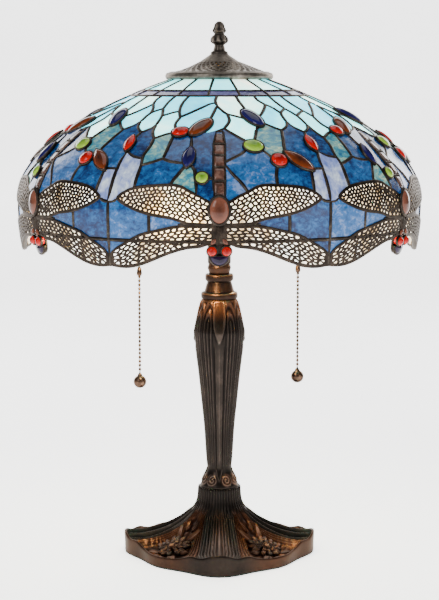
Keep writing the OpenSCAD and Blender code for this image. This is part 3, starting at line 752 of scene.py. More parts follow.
glass = {}
points, panes = cut_panes()
rng = random.Random(11)
for pane in panes:
    area, phi, s = middle_of(pane, points)
    across = [points[i][0] for t in pane for i in t]
    if area * PLANE < 4 or max(across) - min(across) > 30.5 or not -30 <= phi < 30:
        continue
    kind = which_glass(phi, s)
    if kind is None:
        continue
    verts, faces = pane_solid(pane, points, 0 if kind.startswith("wing") else FLATNESS)
    shape = glass.setdefault(hue(kind, phi, s), Shape("pane"))
    level = rng.random()
    for i in range(SECTORS):
        shape.add(spun(verts, i, SECTORS), faces, pane=clamp(level + rng.uniform(-0.12, 0.12)))

glass_plan = {"crown": ("aqua", "aqua_glass"), "band": ("lavender", "lavender_glass"),
              "petal_upper": ("aqua", "aqua_glass"), "petal_lower": ("aqua", "aqua_glass"),
              "field": ("cobalt", "cobalt_glass"), "teal": ("teal", "cobalt_glass"),
              "lilac": ("lilac", "cobalt_glass"), "skirt": ("cobalt", "cobalt_glass"),
              "wing_upper": ("pearl", "pearl_glass"), "wing_lower": ("pearl", "pearl_glass")}
stands_for = {"crown": ["crown_glass"], "band": ["band_glass"], "petal_upper": ["petal_glass_upper"],
              "petal_lower": ["petal_glass_lower"], "field": ["field_glass"], "skirt": ["skirt_glass"],
              "wing_upper": ["wing_glass_upper"], "wing_lower": ["wing_glass_lower"]}
for key, shape in glass.items():
    paint, slot = glass_plan[key]
    shape.piece("panes_" + key, M[paint], "shade", slot, stands_for.get(key, []), smooth=False)


# --- Lead ---------------------------------------------------------------------------------------------

BEAD = [(-0.62, 0.1), (-0.3, 0.0), (0.3, 0.0), (0.62, 0.1), (0.95, 0.2), (1.0, 0.34), (0.86, 0.6),
        (0.7, 0.86), (0.3, 1.0), (-0.3, 1.0), (-0.7, 0.86), (-0.86, 0.6), (-1.0, 0.34), (-0.95, 0.2)]


bead_rng = random.Random(5)


def bead(shape, line, width=LEAD_W, d_top=0.3, d_low=5.0, closed=False):
    """A solder bead over a line of (phi, s): rounded outside and inside, a little uneven."""
    pts = resample(line, 2.4, closed)
    n = len(pts)
    rough = [bead_rng.random() for _ in range(n)]
    verts = []
    for i, (phi, s) in enumerate(pts):
        before = pts[i - 1] if i or closed else pts[i]
        after = pts[(i + 1) % n] if i < n - 1 or closed else pts[i]
        scale = math.radians(on_profile(s)[0])
        dx, dy = (after[0] - before[0]) * scale, after[1] - before[1]
        length = math.hypot(dx, dy) or 1
        nx, ny = -dy / length, dx / length
        uneven = (rough[i - 1] + rough[i] + rough[(i + 1) % n]) / 3
        half = width / 2 * (0.9 + 0.25 * uneven)
        top = d_top + 0.35 * uneven
        if not closed and i in (0, n - 1):
            half, top = half * 0.6, top + 0.5
        for w, t in BEAD:
            verts.append(on_shade(phi + nx * w * half / scale, s + ny * w * half, top + (d_low - top) * t))
    k = len(BEAD)
    faces = grid_faces(n, k, wrap_rows=closed, wrap_cols=True)
    if not closed:
        faces += [tuple(range(k))[::-1], tuple((n - 1) * k + i for i in range(k))]
    shape.add(verts, faces)


def outside_wings(line):
    """The parts of a line that lie outside the wings, as separate lines."""
    parts, run = [], []
    for point in resample(line, 1.2):
        if in_wing(*point, margin=0.6):
            parts, run = parts + [run], []
        else:
            run.append(point)
    return [part for part in parts + [run] if len(part) > 2]


lines = Shape()
for line in [spline(l) for l in LEADS]:
    for part in outside_wings(line):
        bead(lines, part)
for side in body_sides:
    bead(lines, [q for q in side if q[1] <= 190], width=2.2)
bead(lines, [(-1.25, 106.5), (1.25, 106.5)], width=2.4)
for phi in (-27, -7, 13):
    bead(lines, [(phi, CROWN_TOP), (phi, BAND_END)], width=2.8)
bead(lines, [(30, 236), (30, 250.4)], width=4.2, d_top=0.1)
for side in (-1, 1):
    bead(lines, [(side * 1.4, 210.2), (side * 8, 209.9), (side * 10.6, 209.3)], width=3.2)
lines.repeat()
lines.piece("lead_lines", M["lead"], "shade", "lead", ["lead_ribs"])

rings = Shape()
for s, width in ((CROWN_TOP - 1.2, 3.0), (CROWN_END, 2.6), (BAND_END, 3.0)):
    bead(rings, [(phi, s) for phi in range(-180, 180, 3)], width=width, closed=True)
rings.piece("lead_rings_beads", M["lead"], "shade", "lead", ["lead_rings"])

rim = Shape()
rim_points = []
for i in range(SECTORS):
    half = spline(RIM_LINE, 4)
    turn = i * SECTOR
    rim_points += [(phi + turn, s - 1.9) for phi, s in half] + [(turn + 60 - phi, s - 1.9) for phi,
                                                                s in half[-2:0:-1]]
bead(rim, rim_points, width=3.4, closed=True)
rim.piece("rim_bead", M["lead"], "shade", "lead", ["rim_came"])


# --- Jewels -------------------------------------------------------------------------------------------

def cabochon(shape, phi, s, points, height, base=0.6, back=3.6, steps=9):
    """A domed piece of glass over an outline, in the flat frame that touches the shade at (phi, s)."""
    n = len(points)
    verts = [face_point(phi, s, x * 0.9, y * 0.9, -back) for x, y in points]
    # The rim value, 1 at the edge and 0 on top, sets where the jewel's colour is painted brighter.
    rims = [1.0] * n
    for i in range(steps):
        t = i / steps * math.pi / 2
        for x, y in points:
            rise = -base + (height + base) * math.sin(t)
            verts.append(face_point(phi, s, x * math.cos(t), y * math.cos(t), rise))
            rims.append(1 - i / steps)
    verts += [face_point(phi, s, 0, 0, height), face_point(phi, s, 0, 0, -back)]
    rims += [0.0, 0.6]
    faces = grid_faces(steps + 1, n, wrap_cols=True)
    top, low = len(verts) - 2, len(verts) - 1
    faces += [(steps * n + j, top, steps * n + (j + 1) % n) for j in range(n)]
    faces += [(j, (j + 1) % n, low) for j in range(n)]
    shape.add(verts, faces, rim=rims)


def bezel(shape, phi, s, points, radius=0.95, out=0.1):
    """A round wire of solder round an outline."""
    n, k = len(points), 8
    verts = []
    for i, (x, y) in enumerate(points):
        (ax, ay), (bx, by) = points[i - 1], points[(i + 1) % n]
        length = math.hypot(bx - ax, by - ay)
        nx, ny = (by - ay) / length, -(bx - ax) / length
        for j in range(k):
            c, t = radius * math.cos(math.tau * j / k), radius * math.sin(math.tau * j / k)
            verts.append(face_point(phi, s, x + nx * (c + 0.3), y + ny * (c + 0.3), out + t
                                    * (1 if t > 0 else 3)))
    shape.add(verts, grid_faces(n, k, True, True))


bezels = Shape()
stones = {}
for paint, kind, phi, s, length, width, turn, height in JEWELS:
    points = turned(outline(kind, length, width, 40), turn)
    cabochon(stones.setdefault(paint, Shape("rim")), phi, s, points, height)
    bezel(bezels, phi, s, points)
for paint, shape in stones.items():
    shape.repeat()
    shape.piece("jewels_" + paint, M[paint], "shade", paint + "_glass", [paint + "_jewels"])

# --- Dragonfly bodies ---------------------------------------------------------------------------------

THORAX_S, EYE_PHI, EYE_S, HEAD_S, KNOT_S = 196.5, 1.85, 233.2, 238.2, 208.5

thorax = Shape("rim")
thorax_line = turned(outline("oval", 24.6, 18, 48), 90)
cabochon(thorax, 0, THORAX_S, thorax_line, 3.6, steps=12)
bezel(bezels, 0, THORAX_S, thorax_line, 1.4)
thorax.repeat()
thorax.piece("thorax", M["thorax"], "shade", "brown_glass", ["thorax_glass"])

abdomen = Shape("pane")
rng = random.Random(21)
for s0, s1 in zip(BODY_CUTS[1:], BODY_CUTS[2:]):
    s0, s1 = s0 + 0.9, s1 - 0.9
    rows, cols = 8, 9
    verts = []
    for i in range(rows):
        v = 2 * i / (rows - 1) - 1
        for j in range(cols):
            u = 2 * j / (cols - 1) - 1
            swell = ((1 - u ** 4) * (1 - v ** 6)) ** 0.5
            s = (s0 + s1) / 2 + v * (s1 - s0) / 2
            verts.append(on_shade(u * (lookup(s, BODY_EDGE) - 0.12), s, 1.6 - 1.5 * swell))
    back = [on_shade(u * lookup(s, BODY_EDGE) * 0.9, s, 4) for s in (s0, s1) for u in (-1, 1)]
    faces = grid_faces(rows, cols)
    top = len(verts)
    faces += [tuple(range(cols)) + (top + 1, top),
              tuple((rows - 1) * cols + j for j in reversed(range(cols))) + (top + 2, top + 3),
              tuple(i * cols for i in reversed(range(rows))) + (top, top + 2),
              tuple(i * cols + cols - 1 for i in range(rows)) + (top + 3, top + 1),
              (top, top + 1, top + 3, top + 2)]
    level = rng.random()
    for k in range(SECTORS):
        abdomen.add(spun(verts + back, k, SECTORS), faces, pane=level)
abdomen.piece("abdomen_segments", M["brown"], "shade", "brown_glass", ["abdomen_glass"], crease=50)
bars = Shape()
for bar in body_bars:
    bead(bars, bar, width=2.0, d_top=-0.3)
bars.repeat()
bars.piece("abdomen_bars", M["lead"], "shade", "lead")

eyes, head = Shape("rim"), Shape("rim")
for side in (-1, 1):
    cabochon(eyes, side * EYE_PHI, EYE_S, outline("oval", 8.4, 8.4, 32), 4.0, base=0.2, back=4.0, steps=10)
    bezel(bezels, side * EYE_PHI, EYE_S, outline("oval", 8.6, 8.6, 32), 0.7, 0.2)
eyes.repeat()
eyes.piece("eyes", M["red"], "shade", "red_glass", ["eye_beads"])


def solid_patch(shape, outer, inner, **values):
    """A closed solid from a grid of outer points and a matching grid of inner points."""
    cols = len(outer[0])
    n = len(outer) * cols
    verts = [p for row in outer for p in row] + [p for row in inner for p in row]
    faces = grid_faces(len(outer), cols)
    faces += [tuple(n + i for i in reversed(f)) for f in faces]
    rim = ([j for j in range(cols)] + [i * cols + cols - 1 for i in range(1, len(outer))]
           + [n - 1 - j for j in range(1, cols)] + [i * cols for i in range(len(outer) - 2, 0, -1)])
    faces += [(a, n + a, n + b, b) for a, b in zip(rim, rim[1:] + rim[:1])]
    shape.add(verts, faces, **values)


# The head: a half-round glass below the eyes, on a lead plate that hangs below the rim
half_disc = [(9 * math.cos(a), -9 * math.sin(a)) for a in [math.pi * i / 30 for i in range(31)]]
head_line = [(x * 0.98, y * 0.98 - 0.2) for x, y in half_disc] + [(x * 8.4, 0.0)
                                                                  for x in (-0.6, -0.2, 0.2, 0.6)]
HEAD_D, HEAD_MID, HEAD_RISE = 4.6, -3.6, 3.6


def half_round(shape):
    """The domed half disc of the head."""
    n = len(head_line)
    verts, rims, steps = [], [], 8
    for i in range(steps):
        t = i / steps * math.pi / 2
        for x, y in head_line:
            y = HEAD_MID + (y - HEAD_MID) * math.cos(t)
            verts.append(face_point(0, HEAD_S, x * math.cos(t), y, 0.4 - HEAD_D + HEAD_RISE * math.sin(t)))
            rims.append(1 - i / steps)
    verts.append(face_point(0, HEAD_S, 0, HEAD_MID, 0.4 - HEAD_D + HEAD_RISE))
    rims.append(0.0)
    back, last = len(verts), (steps - 1) * n
    verts += [face_point(0, HEAD_S, x, y, -HEAD_D) for x, y in head_line]
    rims += [1.0] * n
    faces = grid_faces(steps, n, wrap_cols=True)
    faces += [(last + j, back - 1, last + (j + 1) % n) for j in range(n)]
    faces += [(j, (j + 1) % n, back + (j + 1) % n, back + j) for j in range(n)]
    faces.append(tuple(back + j for j in reversed(range(n))))
    shape.add(verts, faces, rim=rims)


half_round(head)
head.repeat()
head.piece("head_domes", M["purple"], "shade", "purple_glass", ["head_glass"], crease=60)

plates = Shape()
PLATE_LINE = [(190, 4), (205, 6.5), (214, 7.5), (222, 8.5), (228, 9.6), (233, 9.9), (238, 9.7),
              (242.5, 8.4), (245.5, 5.4), (246.8, 2)]
front_rows, back_rows = [], []
for s in [190 + 56.8 * i / 44 for i in range(45)]:
    half = lookup(s, PLATE_LINE)
    scale = math.radians(on_profile(s)[0])
    xs = [half * (2 * j / 8 - 1) for j in range(9)]
    front_rows.append([on_shade(x / scale, s, 5.4 if s > 206 else 6.0) for x in xs])
    back_rows.append([on_shade(x / scale, s, 7.0) for x in xs])
solid_patch(plates, front_rows, back_rows)
plates.repeat()
plates.piece("back_plates", M["lead"], "shade", "lead", ["body_plates"])
bezel(bezels, 0, HEAD_S, [(x * 1.02, y * 1.02) for x, y in head_line], 0.9, -HEAD_D + 1.6)

# The knot where the wings meet, below the thorax, with its short ribs and two pale beads above the eyes
knot = Shape()
rows, back_rows = [], []
for i in range(19):
    v = i / 18
    s = KNOT_S + 20 * v
    half = 6.6 + 1.2 * math.sin(math.pi * v)
    row = []
    for j in range(33):
        u = 2 * j / 32 - 1
        swell = (1 - u * u) ** 0.5
        ribs = 0.35 * math.cos(u * 16) * (0.3 + 0.7 * v)
        row.append(face_point(0, s, u * half, 0, -2.6 + 2.9 * swell
                              * math.sin(math.pi * (0.12 + 0.76 * v)) + ribs))
    rows.append(row)
    back_rows.append([face_point(0, s, (2 * j / 32 - 1) * 6.4, 0, -5.4) for j in range(33)])
solid_patch(knot, rows, back_rows)
knot.repeat()
knot.piece("wing_knots", M["filigree"], "shade", "filigree_brass")
pips = Shape("rim")
for side in (-1, 1):
    points = turned(outline("leaf", 6.5, 3.6, 20), side * -50)
    cabochon(pips, side * 1.5, 224.6, points, 2.0, base=-0.6, back=2, steps=6)
pips.repeat()
pips.piece("cheek_pips", M["thorax"], "shade", "brown_glass")
bezels.repeat()
bezels.piece("jewel_bezels", M["lead"], "shade", "lead")


# --- Pierced metal ------------------------------------------------------------------------------------

def shrink_to(polygon, a, b, gap):
    """Cuts a polygon at the line half way between two seeds, gap on the near side of it."""
    nx, ny = b[0] - a[0], b[1] - a[1]
    length = math.hypot(nx, ny)
    nx, ny = nx / length, ny / length
    limit = (a[0] + b[0]) / 2 * nx + (a[1] + b[1]) / 2 * ny - gap
    out = []
    for p, q in zip(polygon, polygon[1:] + polygon[:1]):
        dp, dq = p[0] * nx + p[1] * ny - limit, q[0] * nx + q[1] * ny - limit
        if dp <= 0:
            out.append(p)
        if (dp < 0) != (dq < 0) and dp != dq:
            t = dp / (dp - dq)
            out.append((p[0] + (q[0] - p[0]) * t, p[1] + (q[1] - p[1]) * t))
    return out


def area_of(polygon):
    """The area, negative when the points run clockwise."""
    return sum(a[0] * b[1] - b[0] * a[1] for a, b in zip(polygon, polygon[1:] + polygon[:1])) / 2


def cells(frame_line, seeds, gap, squeeze, tilt):
    """Rounded openings, one round each seed; squeeze draws them out along the tilt."""
    c, s = math.cos(tilt), math.sin(tilt)

    def warp(p):
        return (p[0] * c + p[1] * s) / squeeze, -p[0] * s + p[1] * c

    def back(p):
        x, y = p[0] * squeeze, p[1]
        return x * c - y * s, x * s + y * c

    line = [warp(p) for p in frame_line]
    points = [warp(p) for p in seeds]
    out = []
    for i, a in enumerate(points):
        cell = line
        for j, b in enumerate(points):
            if i != j and abs(a[0] - b[0]) + abs(a[1] - b[1]) < 12 and cell:
                cell = shrink_to(cell, a, b, gap)
        if len(cell) < 3 or abs(area_of(cell)) * squeeze < 1.1:
            continue
        cell = [back(p) for p in cell]
        tidy = [cell[0]]
        for p in cell[1:]:
            if math.dist(p, tidy[-1]) > 0.35:
                tidy.append(p)
        if math.dist(tidy[0], tidy[-1]) < 0.35:
            tidy.pop()
        if len(tidy) > 2:
            cell = smooth_line(tidy, 1, closed=True)
            out.append(cell if area_of(cell) > 0 else cell[::-1])
    return out


def pierced(shape, border, holes, place, top, low, chamfer=0.3):
    """A sheet with openings: place(x, y, depth) sets each flat point, and each opening's edge is eased."""
    rings = [border] + holes
    coords, edges, starts = [], [], []
    for ring in rings:
        starts.append(len(coords))
        coords += [Vector(p) for p in ring]
        edges += [(starts[-1] + i, starts[-1] + (i + 1) % len(ring)) for i in range(len(ring))]
    faces_in = [[starts[k] + i for i in range(len(ring))] for k, ring in enumerate(rings)]
    verts, _, faces, origin, _, owners = delaunay_2d_cdt(coords, edges, faces_in, 1, 0.001)
    keep = [f for f, own in zip(faces, owners) if list(own) == [0]]
    n = len(verts)
    points = [place(v.x, v.y, top) for v in verts] + [place(v.x, v.y, low) for v in verts]
    out = [tuple(f) for f in keep] + [tuple(n + i for i in reversed(f)) for f in keep]
    sides = dict.fromkeys((a, b) for f in keep for a, b in zip(f, f[1:] + f[:1]))
    open_edges = [(a, b) for a, b in sides if (b, a) not in sides]
    used = {}
    for a, b in open_edges:
        used.setdefault(a, len(used))
        used.setdefault(b, len(used))
    start = len(points)
    middle = [None] * len(used)
    following = {a: b for a, b in open_edges}
    before = {b: a for a, b in open_edges}
    for v, i in used.items():
        a, b = before.get(v, v), following.get(v, v)
        dx, dy = verts[b].x - verts[a].x, verts[b].y - verts[a].y
        shift = chamfer * 0.8 / (math.hypot(dx, dy) or 1)
        middle[i] = place(verts[v].x + dy * shift, verts[v].y - dx * shift, top + chamfer)
    points += middle
    for a, b in open_edges:
        out += [(b, a, start + used[a], start + used[b]), (start + used[b], start + used[a], n + a, n + b)]
    shape.add(points, out)


WING_PLANE = 3.5  # millimetres for one degree in the wings' flat plan


def wing(shape, name, pitch, squeeze, gap, border_w, seed):
    """One pair of pierced wings, planned flat: x across and s down."""
    tops, lows = (WING_TOP, WING_MID) if name == "upper" else (HIND_TOP, HIND_LOW)
    line = [(phi * WING_PLANE, s) for phi, s in wing_shapes[name]]
    line = line if area_of(line) > 0 else line[::-1]

    def span(x):
        phi = x / WING_PLANE
        return lookup(phi, tops) + border_w, lookup(phi, lows) - border_w

    tip = max(p[0] for p in line) - 1.2
    across = [6.4 + 1.6 * i for i in range(70)]
    across = [x for x in across if x < tip and span(x)[1] - span(x)[0] > 0.6]
    inner = [(x, span(x)[0]) for x in across] + [(x, span(x)[1]) for x in reversed(across)]
    rng = random.Random(seed)
    seeds = []
    x = across[0] + 1.2
    while x < across[-1]:
        top, low = span(x)
        step = pitch * squeeze * rng.uniform(0.85, 1.15)
        rows = max(1, round((low - top) / (pitch * 0.92)))
        for k in range(rows):
            v = (k + 0.5) / rows
            px = x + step * ((k % 2) * 0.5 + rng.uniform(-0.2, 0.2))
            top, low = span(px)
            py = top + (low - top) * v + rng.uniform(-0.22, 0.22) * pitch
            if inside((px, py), inner) and all(math.dist((px, py), q) > pitch * 0.62 for q in seeds):
                seeds.append((px, py))
        x += step
    tilt = 0.0 if name == "upper" else math.atan2(26, 70)
    holes = cells(inner, seeds, gap, squeeze, tilt)
    for sign in (1, -1):
        def place(x, y, d):
            return on_shade(sign * x / WING_PLANE, y, d + 0.35 * (1 - clamp((x - 5) / 8)))
        part = Shape()
        pierced(part, line, holes, place, 0.12, 1.35)
        faces = part.faces if sign == 1 else [tuple(reversed(f)) for f in part.faces]
        shape.add(part.verts, faces)


# For each pair of wings: pitch and stretch of the openings, half the metal between them, border, seed
LACE = {"upper": (3.5, 1.2, 0.66, 1.7, 4), "lower": (3.0, 2.1, 0.56, 1.5, 9)}
for name, pattern in LACE.items():
    lace = Shape()
    wing(lace, name, *pattern)
    for sign in (1, -1):
        line = [(sign * phi, s) for phi, s in wing_shapes[name]]
        bead(lace, line[::2], width=2.2, d_top=-0.05, d_low=1.9, closed=True)
    lace.repeat()
    lace.piece("wing_lace_" + name, M["filigree"], "shade", "filigree_brass", ["wing_filigree_" + name],
               crease=40)


# --- Cap and finial -----------------------------------------------------------------------------------

CAP_TOP = 509
cap_line = [(8.7, CAP_TOP), (17.2, 502.5), (28, 497), (38, 493), (46, 491.2)]
LACE_IN, LACE_OUT = 18.5, 45.5
MEAN_R = 32


def cap_height(r):
    return lookup(r, cap_line)


def cap_place(x, y, d):
    """Wraps the flat plan round the cap: x runs round it at the mean radius, and y is the radius."""
    return polar(y, x / MEAN_R, cap_height(y) - d)


cap = Shape()
holes = []
CAP_T = 1.7
wide = math.tau * MEAN_R
HOLES_ROUND, HOLE_HALF_HIGH = 32, 2.7
hole_half_wide = 0.37 * wide / HOLES_ROUND
for row, r in enumerate((22, 26, 30, 34, 38, 42)):
    for i in range(HOLES_ROUND):
        x = (i + 0.5 * (row % 2) + 0.25) / HOLES_ROUND * wide
        holes.append([(x + hole_half_wide, r), (x, r + HOLE_HALF_HIGH), (x - hole_half_wide, r),
                      (x, r - HOLE_HALF_HIGH)])
border = [(wide * i / 72, LACE_IN) for i in range(73)] + [(wide * (72 - i) / 72, LACE_OUT)
                                                          for i in range(73)]
pierced(cap, border, [h for h in holes if all(0.3 < x < wide - 0.3 for x, _ in h)], cap_place, 0.0, CAP_T,
        0.25)
lace_z = cap_height(LACE_IN)
top_part = spline([(3.5, 506.6), (3.5, CAP_TOP - 0.02), (8.4, CAP_TOP - 0.02), (9.2, 508.3), (13, 505.6),
                   (LACE_IN + 0.3, lace_z)], 4)
cap.add(*lathe(top_part + [(LACE_IN + 0.2, lace_z - CAP_T), (8.6, 506.4)], 96, closed=True))
edge = [(LACE_OUT - 0.3, 491.1), (47.5, 491.5), (49.2, 491.3), (50.6, 490.3), (52.3, 490.2),
        (53.5, 488.9), (53.98, 486.9), (53.6, 484.9), (52.4, 483.6), (50.9, 483.6), (49.7, 484.7),
        (48.4, 487.8), (LACE_OUT - 0.3, 489.3)]
cap.add(*lathe(smooth_line(edge, 2, closed=True), 120, closed=True))
cap.piece("cap_lace", M["cap"], "shade", "cap_bronze", ["vented_cap"], crease=40)

finial_line = [(8.7, 509), (8.6, 510.2), (7.6, 511.2), (6.2, 512), (5.2, 514), (4.7, 517), (5.4, 518.2),
               (6.9, 519.2), (8.0, 520.6), (8.4, 522.2), (8.1, 524), (7.2, 526), (5.6, 527.6),
               (4.8, 528.4), (5.3, 529.4), (6.3, 530.6), (6.5, 531.8), (5.8, 533.4), (5.0, 534.8),
               (4.7, 536.4), (4.2, 538.2), (3.0, 539.8), (1.4, 540.8), (0.01, 541)]


def finial_relief(a, z):
    """Flutes on the stem, then two whorls of leaves."""
    if z < 517.5:
        return 0.45 * (0.5 + 0.5 * math.cos(10 * a)) * clamp((z - 511.5) / 2) * min(1, (517.5 - z) / 2)
    if z < 528:
        leaf = abs(math.cos(4 * a + (z - 518) * 0.1))
        return (leaf - 0.6) * 1.7 * math.sin(math.pi * (z - 517.5) / 10.5)
    leaf = abs(math.cos(3 * a))
    return (leaf - 0.6) * 1.3 * math.sin(math.pi * min(1, (z - 528) / 12.5))


def relief_lathe(shape, line, relief, steps, scale, copper=None):
    """A lathe whose relief also drives how bright its edges are rubbed."""
    verts, values, worn = [], [], []
    for j in range(steps):
        a = math.tau * j / steps
        for r, z in line:
            extra = relief(a, z)
            verts.append(polar(r + extra, a, z))
            values.append(clamp(0.5 + extra * scale))
            worn.append(copper(a, z) if copper else 0.0)
    shape.add(verts, grid_faces(steps, len(line), wrap_rows=True), relief=values, copper=worn)


finial = Shape("relief")
relief_lathe(finial, [(3.3, 509)] + dense(spline(finial_line, 3), 0.5), finial_relief, 120, 0.5)
finial.add(*lathe([(3.3, 509), (3.3, 520.8), (0.01, 520.8)], 32))
finial.piece("finial_bud", M["finial"], "finial", "cap_bronze", ["finial"])

# --- Column and neck ----------------------------------------------------------------------------------

COLUMN_LINE = [(19.3, 69), (19.4, 70.2), (18.9, 72.6), (17.4, 76.4), (15.4, 81), (13.4, 86), (12.9, 92),
               (13.7, 104), (15.5, 132), (18.3, 159), (21, 185), (23.5, 205), (25.4, 222), (25.9, 229),
               (25.7, 232), (24.7, 238), (23.4, 245), (21.6, 253), (20.0, 258.5), (18.6, 261.6),
               (16.9, 263.4)]


def ease(x, low, high):
    """A smooth step from 0 at low to 1 at high."""
    t = clamp((x - low) / (high - low))
    return t * t * (3 - 2 * t)


def ridge(x, width):
    """A smooth ridge, 1 at x = 0."""
    return math.exp(-(x / width) ** 2)


def quarter(a):
    """Degrees from the nearest of the four stalks, which face front, back and sides."""
    return (math.degrees(a) + 45) % 90 - 45


def curl(d, z, r):
    """(distance, angle) from the middle of the nearest curled frond at the column's foot."""
    x, y = (abs(d) - 26) * math.pi / 180 * r, z - 77.6
    return math.hypot(x, y), math.atan2(y, x)


def column_relief(a, z):
    """Four flat stalks under pointed leaves, with arched ribs between them and curled fronds below."""
    d = quarter(a)
    u = abs(d)
    upper = ease(z, 88, 96)
    stalk = 0.3 * ease(12.0 - u, 0, 2.2) - 0.8 * ridge(u - 13.2, 1.5) + 0.3 * ridge(u, 1.6)
    q = math.hypot((u - 29) / 15, max(0.0, z - 240) / 18.5)
    ribs = 0.6 * math.cos(math.tau * 1.75 * q) * ease(u, 13.2, 15) * (1 - 0.45 * ease(z, 205, 110))
    leaf_w = 16.5 * ease(z, 216, 250) ** 0.6
    edge = 0.45 * ridge(u - leaf_w, 1.2) - 0.6 * ridge(u - leaf_w - 2.6, 1.4)
    leaf = ease(z, 219, 226) * (ease(leaf_w - u, -0.6, 1.6) * 0.7 + edge)
    hollow = -0.7 * ease(z, 228, 246) * ease(leaf_w * 0.8 - u, 0, 3)
    knob = 1.2 * ridge(d, 2.6) * ridge(z - 221.5, 2.2)
    ribs *= 1 - ease(leaf_w - u, -2, 0) * ease(z, 219, 226)
    body = stalk * (1 - ease(z, 212, 221)) + ribs + leaf + hollow + knob
    rho, turn = curl(d, z, 17)
    frond = (0.6 * math.cos(math.tau * rho / 2.9 - turn) + 0.5) * ease(6.6 - rho, 0, 1.4)
    vee = 0.8 * ridge(u - 1.1 * (z - 76), 2.0) * ease(z, 75, 78) * (1 - ease(z, 86, 90))
    foot = max(frond, vee)
    return (body * upper + foot * (1 - upper) - 0.45) * ease(z, 69.5, 73.5) * (1 - ease(z, 259.5, 262.8))


def column_copper(a, z):
    """How much copper shows: on the leaves under the neck and on the curls at the foot."""
    d = abs(quarter(a))
    rho, _ = curl(d, z, 17)
    leaf = ease(z, 240, 254) * (1 - 0.4 * ease(d, 12, 30))
    return min(1.0, 0.7 * leaf + 0.2 * ease(7.5 - rho, 0, 3) * (1 if math.cos(a) > 0 else 0.4))


column = Shape("relief", "copper")
relief_lathe(column, dense(spline(COLUMN_LINE, 4), 1.15), column_relief, 480, 0.42, column_copper)
column.add(*lathe([(5.7, 69), (19.3, 69)], 48), relief=0.4, copper=0.0)
column.add(*lathe([(16.9, 263.4), (5.7, 263.45)], 48), relief=0.4, copper=0.0)
column.piece("column_leaves", M["bronze"], "root", "column_bronze", ["column_casting"])


def turned_part(name, node, line, relief, copper):
    """A turned bronze piece: relief and copper are one value, or one for each point of its line."""
    shape = Shape("relief", "copper")
    steps = 96
    values = {"relief": relief, "copper": copper}
    shape.add(*lathe(line, steps), **{key: v * steps if isinstance(v, list) else v for key,
                                      v in values.items()})
    shape.piece(name, M["bronze"], "root", "column_bronze", [node], crease=35)


cone = [(5.7, 263.5), (17.4, 263.5), (18.4, 264.2), (18.6, 265.4), (18.6, 267.8), (18.3, 269),
        (17.4, 269.8), (15.4, 270.3), (14.9, 271.4), (13.6, 276), (12.3, 280.6), (13.2, 281.4),
        (14.1, 282.4), (14.3, 283.6), (14.3, 286.4), (14.0, 287.6), (13.3, 288.4), (5.7, 288.45)]
turned_part("neck_rings", "neck_cone", cone, relief=[0.1, 0.2, 0.3, 0.3, 0.35, 0.6, 0.3, 0.1, 0.25, 0.3,
                                                     0.2, 0.2, 0.3, 0.3, 0.35, 0.6, 0.3, 0.1],
            copper=[0.1, 0.1, 0.1, 0.1, 0.15, 0.5, 0.2, 0.05, 0.3, 0.2, 0.1, 0.1, 0.1, 0.1, 0.15, 0.5,
                    0.2, 0.1])
turned_part("neck_collar", "neck_spindle", spline([(5.7, 288.55), (10.3, 288.6), (10.6, 290),
                                                   (11.2, 292.2), (11.9, 294.2), (11.6, 296), (10.9, 298),
                                                   (10.7, 298.95), (5.7, 299)], 3), relief=0.35,
            copper=0.25)
turned_part("neck_tube", "neck_sleeve", dense([(5.7, 299.05), (11.5, 299.05), (11.7, 300.2),
                                               (11.7, 321.5), (12.3, 322.8), (13, 323.8), (13, 325.4),
                                               (12.4, 325.95), (5.7, 325.95)], 3), relief=0.3, copper=0.1)


# --- Base casting: four ribbed fans with panels of flowers between them --------------------------------

BASE_R, FAN_LIP, PANEL_LIP = 91, 20.5, 11
FLARE_R, FLARE_Z, BASE_LOW, WALL = 31, 41.5, 1.6, 3
BUSHING_Z = 9.5


def base_edge(a):
    """The radius of the base's lobed edge."""
    return BASE_R + 4.6 * math.cos(4 * a) + 2.6 * math.cos(8 * a)


def lip_height(a):
    """The top of the rolled lip: high at the fans, with a small wave on each side of them."""
    d = quarter(a)
    wave = 0.9 * ridge(d, 5) - 1.5 * ridge(abs(d) - 11, 4) + 1.4 * ridge(abs(d) - 20, 4.5)
    return PANEL_LIP + (FAN_LIP - PANEL_LIP) * ((1 + math.cos(4 * a)) / 2) ** 1.5 + wave


def flare(a, k):
    """The base's slope: k is 0 at the collar's foot and 1 at the lip."""
    low = lip_height(a) - 1.1
    return FLARE_R + (base_edge(a) - FLARE_R) * k, low + (FLARE_Z - low) * (1 - k) ** 2.2


def fan_width(k):
    """Half a fan's width in degrees."""
    return 16 + 13 * (1 - k) ** 2


def base_relief(a, k, z):
    """(height, copper) of the casting's surface: flutes on the collar, then fans edged by raised lines."""
    d = quarter(a)
    u = abs(d)
    facing = abs(math.sin(a)) > 0.7
    w = fan_width(k)
    q = d / w * (1 + 0.35 * ease(k, 0.72, 1.0))
    flutes = 0.42 * math.cos(math.tau * math.degrees(a) / 7.5)
    if facing:
        ribs = 0.62 * math.cos(math.tau * 6.5 * q) * (1 + 0.3 * math.cos(math.tau * 3.25 * q))
    else:
        ribs = 1.1 * math.cos(math.tau * 2.5 * q) + 0.25 * math.cos(math.tau * 7.5 * q)
    down = ease(z, 50, 40)
    lines = (0.35 + 0.95 * math.cos(math.tau * (u - w - 1.1) / 2.6)) * ease(u - w, -1.0, 0.4)
    panel = ease(u - w, 7.5, 10) * down
    ground = -0.5 + 0.45 * math.sin(math.radians(a * 57.3 * 9) + k * 21) * math.sin(k * 33 + u * 0.4)
    inside_fan = ease(w - u, -0.6, 0.8)
    fan = ribs * inside_fan * ease(1.02 - k, 0, 0.06)
    height = flutes * (1 - down) + down * (fan + lines * (1 - panel)) + ground * panel
    copper = ease(u - w, -2.5, 0) * (0.42 + 0.2 * panel) + 0.16 * inside_fan * facing * ease(u, 16, 3)
    return height, min(1.0, down * copper)


